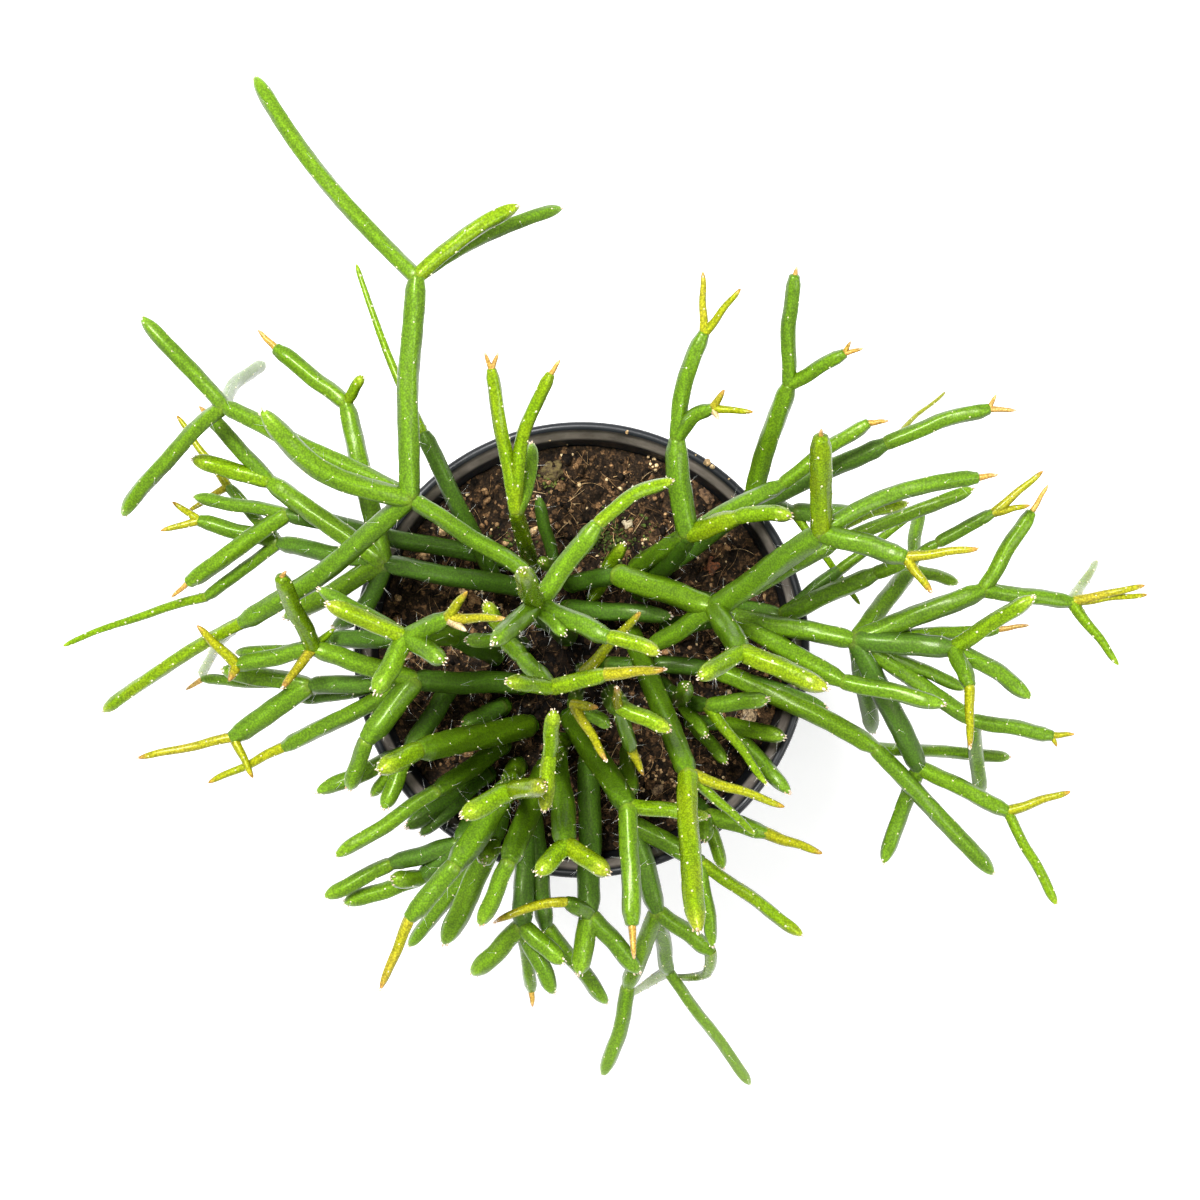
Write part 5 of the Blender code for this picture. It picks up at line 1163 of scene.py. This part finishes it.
def make_bit(name, bit, look):
    """A loose bit of bark or pumice: a flat lump with split layers."""
    x, y, length, width, thickness, turn, _ = bit
    lump = bmesh.new()
    bmesh.ops.create_icosphere(lump, subdivisions=4, radius=1)
    heading = math.radians(turn)
    height = mix_height(x, y) + BIT_LIFT
    seed = Vector((x, y, 0)) * BIT_SEED
    for v in lump.verts:
        squared = [math.copysign(abs(v.co[i]) ** BIT_SQUARENESS, v.co[i]) for i in (0, 1)]
        square = Vector((*squared, v.co.z))
        coarse = BIT_FULLNESS + COARSE_RISE * noise.noise(square * COARSE_PITCH + seed)
        layer = LAYER_RISE * noise.noise(square * LAYER_PITCH + seed)
        chip = CHIP_RISE * noise.noise(square * CHIP_PITCH + seed)
        p = square * (coarse + layer + chip)
        along = p.x * length / 2 * BIT_SHARE
        across = p.y * width / 2 * BIT_SHARE
        v.co = Vector((
            x + along * math.cos(heading) - across * math.sin(heading),
            y + along * math.sin(heading) + across * math.cos(heading),
            height + p.z * thickness / 2)) * MM
    mesh = mesh_of(name, lump)
    mesh.shade_smooth()
    mesh.materials.append(look)
    return link(name + ".rough", mesh)


def shifted(outline, radius, height):
    """Part of the pot's section, moved to where it belongs."""
    return [(radius + r, height + z) for r, z in outline]


def pot_profile():
    """The pot's section as radius and height: up the outside, over the lip and down the inside."""
    step = POT_HEIGHT - COLLAR_DEPTH
    turns = np.linspace(*BEAD_TURN, BEAD_POINTS)
    bead = [(BEAD_RADIUS * math.cos(turn), BEAD_RADIUS * math.sin(turn)) for turn in turns]
    return [
        (AXIS_RADIUS, 0.0),
        *shifted(FOOT, BASE_RADIUS, 0.0),
        (wall_radius(step - STEP_HEIGHT) + WALL, step - STEP_HEIGHT),
        *shifted(STEP, wall_radius(step) + WALL, step),
        *shifted(COLLAR, LIP_RADIUS, step),
        *shifted(UNDER_BEAD, LIP_RADIUS, POT_HEIGHT),
        *shifted(bead, LIP_RADIUS - BEAD_RADIUS, POT_HEIGHT - BEAD_RADIUS),
        *shifted(BEHIND_BEAD, LIP_RADIUS, POT_HEIGHT),
        *shifted(LEDGE_FOOT, LIP_RADIUS, LEDGE_HEIGHT),
        *shifted(LEDGE_EDGE, wall_radius(LEDGE_HEIGHT), LEDGE_HEIGHT),
        (wall_radius(LEDGE_HEIGHT / 2), LEDGE_HEIGHT / 2),
        (wall_radius(FLOOR + 1), FLOOR + 1),
        (wall_radius(FLOOR) - FLOOR_FILLET, FLOOR),
        (AXIS_RADIUS, FLOOR),
    ]


def turned(profile, sides):
    """A closed body of revolution from a section that starts and ends near the axis."""
    body = bmesh.new()
    angles = [2 * math.pi * i / sides for i in range(sides)]
    loops = [
        [body.verts.new((r * MM * math.cos(a), r * MM * math.sin(a), z * MM)) for a in angles]
        for r, z in profile]
    for lower, upper in zip(loops, loops[1:]):
        for i in range(sides):
            j = (i + 1) % sides
            body.faces.new((lower[i], lower[j], upper[j], upper[i]))
    body.faces.new(loops[0][::-1])
    body.faces.new(loops[-1])
    bmesh.ops.recalc_face_normals(body, faces=body.faces)
    return link("turned", mesh_of("turned", body))


def make_pot(look):
    """The moulded pot with a rolled lip and drain holes through its floor."""
    body = turned(pot_profile(), POT_TURNS)
    drain = bmesh.new()
    for i in range(DRAIN_COUNT):
        angle = 2 * math.pi * (i + 0.5) / DRAIN_COUNT
        place = Vector((DRAIN_RING * math.cos(angle), DRAIN_RING * math.sin(angle), FLOOR / 2)) * MM
        bmesh.ops.create_cone(
            drain, cap_ends=True, segments=DRAIN_SIDES, radius1=DRAIN_RADIUS * MM, radius2=DRAIN_RADIUS * MM,
            depth=FLOOR * OVERCUT * MM, matrix=Matrix.Translation(place))
    cutter = link("drains", mesh_of("drains", drain))
    cut = body.modifiers.new("drains", "BOOLEAN")
    cut.operation = "DIFFERENCE"
    cut.solver = "EXACT"
    cut.object = cutter
    graph = bpy.context.evaluated_depsgraph_get()
    mesh = bpy.data.meshes.new_from_object(body.evaluated_get(graph))
    bpy.data.objects.remove(body)
    bpy.data.objects.remove(cutter)
    mesh.shade_smooth()
    mesh.set_sharp_from_angle(angle=math.radians(CREASE))
    mesh.materials.clear()
    mesh.materials.append(look)
    return link("pot.moulded", mesh)


def to_linear(colour):
    """Turns an sRGB hex colour into the linear values of a shader socket."""
    parts = [int(colour[i:i + 2], 16) / 255 for i in (1, 3, 5)]
    return [c / 12.92 if c <= 0.04045 else ((c + 0.055) / 1.055) ** 2.4 for c in parts] + [1.0]


def per_mm(size):
    """The scale of a pattern whose features are this many millimetres apart."""
    return 1.0 / (size * MM)


def feed(look, node, wires):
    """Gives the sockets of a node their links, colours and values."""
    for name, value in wires.items():
        if isinstance(value, bpy.types.NodeSocket):
            look.node_tree.links.new(value, node.inputs[name])
        else:
            node.inputs[name].default_value = to_linear(value) if isinstance(value, str) else value


def put(look, kind, wires, stops=None, **settings):
    """Adds a node with its settings, values, links and colour stops, and gives its outputs back."""
    node = look.node_tree.nodes.new("ShaderNode" + kind)
    for name, value in settings.items():
        setattr(node, name, value)
    feed(look, node, wires)
    if stops:
        elements = node.color_ramp.elements
        while len(elements) < len(stops):
            elements.new(1.0)
        for element, (place, colour) in zip(elements, stops):
            element.position = place
            element.color = to_linear(colour)
    return node.outputs


def new_look(name):
    """An empty material, and the place on the object that its patterns follow."""
    look = bpy.data.materials.new(name)
    look.use_nodes = True
    return look, put(look, "TexCoord", {})["Object"]


def finished(look, wires):
    """Feeds the shader's own sockets and gives the material back."""
    feed(look, look.node_tree.nodes["Principled BSDF"], wires)
    return look


def waxy_stem_skin():
    """Living cactus skin: satin wax over juicy green tissue, finely speckled with darker cells."""
    look, place = new_look("waxy_stem_skin")
    fields = [put(look, "Attribute", {}, attribute_name=name)["Fac"] for name in Skin.field_names]
    age, tip, pale, neck, crest, sun = fields
    # Clouds of lighter and darker tissue, about 9 mm across, shift the age a little.
    cloud = put(look, "TexNoise", {"Vector": place, "Scale": per_mm(9), "Detail": 3.0})["Fac"]
    drift = put(look, "Math", {0: cloud, 1: 0.5}, operation="SUBTRACT")[0]
    aged = put(look, "Math", {0: drift, 1: 0.16, 2: age}, operation="MULTIPLY_ADD")[0]
    colour = put(look, "ValToRGB", {"Fac": aged}, STEM_TONES)["Color"]
    end = put(look, "ValToRGB", {"Fac": age}, TIP_TONES)["Color"]
    colour = put(look, "Mix", {"Factor": tip, 6: colour, 7: end}, data_type="RGBA")[2]
    # Cells are far under a pixel, so the speckle is drawn 0.5 mm apart to show at all.
    cells = put(look, "TexVoronoi", {"Vector": place, "Scale": per_mm(0.5)})["Distance"]
    grain = put(look, "TexNoise", {"Vector": place, "Scale": per_mm(0.9), "Detail": 4.0})["Fac"]
    speck = put(look, "MapRange", {0: cells, 1: 0.05, 2: 0.75, 3: 1.28, 4: 0.6})[0]
    dapple = put(look, "MapRange", {0: grain, 1: 0.3, 2: 0.7, 3: 0.86, 4: 1.14})[0]
    # Painted shade and light: the grooves between the ribs are darkened and the crests lightened, and the
    # sides turned away from the light are darkened and those facing it lightened.
    fold = put(look, "MapRange", {0: crest, 1: 0.0, 2: 1.0, 3: 0.86, 4: 1.12})[0]
    facing = put(look, "MapRange", {0: sun, 1: 0.1, 2: 1.0, 3: 0.56, 4: 1.16})[0]
    shade = speck
    for factor in (dapple, fold, facing):
        shade = put(look, "Math", {0: shade, 1: factor}, operation="MULTIPLY")[0]
    colour = put(look, "VectorMath", {0: colour, "Scale": shade}, operation="SCALE")[0]
    # A thin corky scar rings each joint, a painted grey-green sheen lightens the sides of older shoots that
    # face the light, and the low outer shoots are lightened with painted haze.
    painted_top_sheen = put(look, "MapRange", {0: age, 1: 0.0, 2: 0.5, 3: 0.08, 4: 0.0})[0]
    for field, strength, tint in ((neck, 0.16, "#a3a24c"), (sun, painted_top_sheen, "#93a86a"), (pale, 0.5, "#a3b678")):
        share = put(look, "Math", {0: field, 1: strength}, operation="MULTIPLY")[0]
        colour = put(look, "Mix", {"Factor": share, 6: colour, 7: tint}, data_type="RGBA")[2]
    # Young shoots are the glossiest; wax and wear dull the old ones.
    satin = put(look, "MapRange", {0: age, 1: 0.0, 2: 0.4, 3: 0.3, 4: 0.16})[0]
    gloss = put(look, "Math", {0: grain, 1: 0.18, 2: satin}, operation="MULTIPLY_ADD")[0]
    bump = put(look, "Bump", {"Height": cells, "Strength": 0.35, "Distance": 0.06 * MM})[0]
    dimples = {"Height": grain, "Normal": bump, "Strength": 0.5, "Distance": 0.14 * MM}
    waves = put(look, "Bump", dimples)[0]
    return finished(look, {
        "Base Color": colour, "Roughness": gloss, "Normal": waves,
        "IOR": 1.42, "Specular IOR Level": 0.45, "Specular Tint": "#e2f4a8",
        "Coat Weight": 0.1, "Coat Roughness": 0.12,
        "Subsurface Weight": 0.15, "Subsurface Radius": (0.6, 1.0, 0.2), "Subsurface Scale": 1.4 * MM})


def areole_wool():
    """The woolly cushions that bristles grow from: short cream felt, browner in places on a growing tip."""
    look, place = new_look("areole_wool")
    grain = put(look, "TexNoise", {"Vector": place, "Scale": per_mm(0.5), "Detail": 3.0})["Fac"]
    crown = put(look, "Attribute", {}, attribute_name="tip")["Fac"]
    side = put(look, "ValToRGB", {"Fac": grain}, [(0.35, "#d6cb8e"), (0.65, "#f7f0cb")])["Color"]
    browns = [(0.34, "#b98a5c"), (0.5, "#ead2b4"), (0.64, "#fbf4e6")]
    top = put(look, "ValToRGB", {"Fac": grain}, browns)["Color"]
    tone = put(look, "Mix", {"Factor": crown, 6: side, 7: top}, data_type="RGBA")[2]
    rough = put(look, "MapRange", {0: grain, 3: 0.7, 4: 0.95})[0]
    return finished(look, {"Base Color": tone, "Roughness": rough, "Sheen Weight": 0.4})


def silica_bristle():
    """Fine glassy hairs: white, slightly glossy."""
    look, place = new_look("silica_bristle")
    grain = put(look, "TexNoise", {"Vector": place, "Scale": per_mm(1.5)})["Fac"]
    tone = put(look, "ValToRGB", {"Fac": grain}, [(0.3, "#dfe6da"), (0.7, "#ffffff")])["Color"]
    return finished(look, {"Base Color": tone, "Roughness": 0.35})


def damp_potting_mix():
    """Peat and bark fines: moist and matt, with crumbs of many tones."""
    look, place = new_look("damp_potting_mix")
    tone = put(look, "Attribute", {}, attribute_name="tone")["Fac"]
    clods = put(look, "TexNoise", {"Vector": place, "Scale": per_mm(2.2), "Detail": 6.0, "Roughness": 0.7})
    # Every crumb has a tone of its own: most stay dark, a few are bright.
    bent = put(look, "Mix", {"Factor": BENDING, 4: place, 5: clods["Color"]}, data_type="VECTOR")[1]
    lumps = put(look, "TexVoronoi", {"Vector": bent, "Scale": per_mm(1.3)})
    grains = put(look, "TexVoronoi", {"Vector": bent, "Scale": per_mm(0.55)})
    odd = put(look, "Math", {0: lumps["Color"], 1: 4.0}, operation="POWER")[0]
    fleck = put(look, "Math", {0: grains["Color"], 1: 5.0}, operation="POWER")[0]
    both = put(look, "Math", {0: fleck, 1: 0.42, 2: odd}, operation="MULTIPLY_ADD")[0]
    room = put(look, "MapRange", {0: tone, 1: 0.0, 2: 0.8, 3: 0.4, 4: 0.04})[0]
    own = put(look, "Math", {0: both, 1: room, 2: tone}, operation="MULTIPLY_ADD")[0]
    base = put(look, "ValToRGB", {"Fac": own}, MIX_TONES)["Color"]
    # Painted shade and light: the hollows between the clods are darkened and their tops lightened.
    clod_hollow_shade = put(look, "MapRange", {0: clods["Fac"], 1: 0.34, 2: 0.7, 3: 0.16, 4: 3.0})[0]
    dark = put(look, "MapRange", {0: grains["Distance"], 1: 0.0, 2: 0.8, 3: 1.3, 4: 0.45})[0]
    # Painted shadow: the mix is darkened under the crown, where the stems shade it.
    parts = put(look, "SeparateXYZ", {0: place})
    flat = put(look, "CombineXYZ", {0: parts[0], 1: parts[1]})[0]
    middle = (CROWN_SHADOW_X * MM, CROWN_SHADOW_Y * MM, 0)
    away = put(look, "VectorMath", {0: flat, 1: middle}, operation="DISTANCE")["Value"]
    spread = {0: away, 1: CROWN_SHADOW_NEAR * MM, 2: CROWN_SHADOW_FAR * MM, 3: CROWN_SHADOW_FACTOR, 4: 1.0}
    crown_shadow = put(look, "MapRange", spread, interpolation_type="SMOOTHSTEP")[0]
    shade = clod_hollow_shade
    for factor in (dark, crown_shadow):
        shade = put(look, "Math", {0: shade, 1: factor}, operation="MULTIPLY")[0]
    earth = put(look, "VectorMath", {0: base, "Scale": shade}, operation="SCALE")[0]
    rough = put(look, "MapRange", {0: clods["Fac"], 1: 0.3, 2: 0.7, 3: 0.6, 4: 1.0})[0]
    bump = put(look, "Bump", {"Height": clods["Fac"], "Strength": 0.9, "Distance": 0.7 * MM})[0]
    grit = {"Height": grains["Distance"], "Normal": bump, "Strength": 0.6, "Distance": 0.25 * MM}
    fine = put(look, "Bump", grit)[0]
    return finished(look, {
        "Base Color": earth, "Roughness": rough, "Normal": fine, "Specular IOR Level": 0.12})


def dry_bark(name, colour, dark):
    """Dry bark or pumice: layered, matt, dark in its cracks."""
    look, place = new_look(name + "_dry")
    layers = {"Vector": place, "Scale": per_mm(1.3), "Detail": 8.0, "Roughness": 0.8}
    grain = put(look, "TexNoise", layers)["Fac"]
    tone = put(look, "ValToRGB", {"Fac": grain}, [(0.42, dark), (0.56, colour)])["Color"]
    rough = put(look, "MapRange", {0: grain, 3: 0.95, 4: 0.75})[0]
    bump = put(look, "Bump", {"Height": grain, "Strength": 0.8, "Distance": 0.5 * MM})[0]
    return finished(look, {"Base Color": tone, "Roughness": rough, "Normal": bump})


def moulded_polypropylene():
    """Black injection-moulded polypropylene: satin, faintly pebbled, pale on the ledge inside the lip with
    dust and a painted reflection of the overhead light.
    """
    look, place = new_look("moulded_polypropylene")
    parts = put(look, "SeparateXYZ", {0: place})
    flat = put(look, "CombineXYZ", {0: parts[0], 1: parts[1]})[0]
    reach = put(look, "VectorMath", {0: flat}, operation="LENGTH")["Value"]
    normal = put(look, "NewGeometry", {})["Normal"]
    upward = put(look, "SeparateXYZ", {0: normal})[2]
    # Dust, with a painted reflection of the overhead light, lies in patches on the ledge only: between the mix
    # and the lip, facing up and high enough.
    inside = {0: reach, 1: (LIP_RADIUS - DUST_SHEEN_START) * MM, 2: (LIP_RADIUS - DUST_SHEEN_FULL) * MM}
    beyond_mix = {0: reach, 1: (LIP_RADIUS - DUST_SHEEN_END) * MM, 2: (LIP_RADIUS - DUST_SHEEN_STILL_FULL) * MM}
    level = {0: upward, 1: DUST_SHEEN_SLOPES[0], 2: DUST_SHEEN_SLOPES[1]}
    high = {0: parts[2], 1: (LEDGE_HEIGHT - DUST_SHEEN_DEPTH) * MM, 2: LEDGE_HEIGHT * MM}
    smears = {"Vector": place, "Scale": per_mm(7), "Detail": 5.0, "Roughness": 0.6}
    smear = put(look, "TexNoise", smears)["Fac"]
    patches = {0: smear, 1: 0.35, 2: 0.62, 3: 0.45, 4: 1.0}
    dust_and_sheen = put(look, "MapRange", inside)[0]
    for limit in (beyond_mix, level, high, patches):
        share = put(look, "MapRange", limit)[0]
        dust_and_sheen = put(look, "Math", {0: dust_and_sheen, 1: share}, operation="MULTIPLY")[0]
    colour = put(look, "Mix", {"Factor": dust_and_sheen, 6: "#181b1f", 7: "#a2978c"}, data_type="RGBA")[2]
    satin = put(look, "MapRange", {0: smear, 1: 0.3, 2: 0.7, 3: 0.3, 4: 0.48})[0]
    rough = put(look, "Math", {0: dust_and_sheen, 1: 0.35, 2: satin}, operation="MULTIPLY_ADD")[0]
    pebble = put(look, "TexNoise", {"Vector": place, "Scale": per_mm(0.8), "Detail": 3.0})["Fac"]
    bump = put(look, "Bump", {"Height": pebble, "Strength": 0.25, "Distance": 0.1 * MM})[0]
    return finished(look, {
        "Base Color": colour, "Roughness": rough, "Normal": bump, "IOR": 1.49, "Specular IOR Level": 0.4})


def pale_floor():
    """The plain floor, near white."""
    look, place = new_look("pale_floor")
    grain = put(look, "TexNoise", {"Vector": place, "Scale": per_mm(40)})["Fac"]
    tone = put(look, "ValToRGB", {"Fac": grain}, [(0.3, "#fafafa"), (0.7, "#ffffff")])["Color"]
    return finished(look, {
        "Base Color": tone, "Roughness": 0.9,
        "Emission Color": (1, 1, 1, 1), "Emission Strength": FLOOR_GLOW})


def set_stage():
    """The floor, the soft lights and the white surroundings."""
    sheet = bmesh.new()
    bmesh.ops.create_grid(sheet, x_segments=1, y_segments=1, size=FLOOR_SIZE)
    floor = link("floor", mesh_of("floor", sheet))
    floor.data.materials.append(pale_floor())
    for name, place, size, watts in LAMPS:
        lamp = bpy.data.lights.new(name, "AREA")
        lamp.shape = "DISK"
        lamp.size = size
        lamp.energy = watts
        thing = link(name, lamp)
        thing.location = place
        thing.rotation_euler = (Vector(LAMP_AIM) - Vector(place)).to_track_quat("-Z", "Y").to_euler()
    world = bpy.data.worlds.new("white_room")
    world.use_nodes = True
    surroundings = world.node_tree.nodes["Background"]
    surroundings.inputs["Color"].default_value = (1, 1, 1, 1)
    surroundings.inputs["Strength"].default_value = WORLD_LIGHT
    bpy.context.scene.world = world
    bpy.context.scene.view_settings.view_transform = "Standard"


def set_camera():
    """Straight down from above the rim, framed as the photograph is."""
    eye = bpy.data.cameras.new("overhead")
    eye.sensor_width = SENSOR
    eye.lens = SENSOR * EYE_HEIGHT / VIEW_WIDTH
    eye.clip_end = VIEW_END
    camera = link("overhead", eye)
    camera.location = (EYE_X * MM, EYE_Y * MM, (POT_HEIGHT + EYE_HEIGHT) * MM)
    bpy.context.scene.camera = camera


def hand_over(piece, slot, *nodes):
    """Tells the frame what a piece rides on and the nodes that it stands for; slot, its finish, is not used.
    """
    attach(piece, "root")
    if nodes:
        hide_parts(*nodes)


def main():
    """Loads the frame, dresses it and sets the stage."""
    for old in list(bpy.data.objects):
        bpy.data.objects.remove(old)
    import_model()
    rng = np.random.default_rng(SEED)
    plant = Plant()
    settle(plant)
    joints = plant.places()
    bows = side_bows(plant, joints)
    parents = {shoot["start"] for shoot in plant.shoots}
    looks = [waxy_stem_skin(), areole_wool(), silica_bristle()]
    for stem in STEMS:
        hand_over(make_stem(stem, plant, joints, bows, parents, looks, rng), "green_stem", stem)
    mix = [damp_potting_mix()]
    hand_over(make_mix(mix, rng), "potting_mix", "soil")
    hand_over(make_rim_crumbs(mix, rng), "bark")
    for name, bit in BITS.items():
        dark, slot = ("#8d7f63", "pumice") if "pumice" in name else ("#3d2c1d", "bark")
        hand_over(make_bit(name, bit, dry_bark(name, bit[-1], dark)), slot, name)
    hand_over(make_pot(moulded_polypropylene()), "pot_plastic", "pot")
    set_stage()
    set_camera()


main()
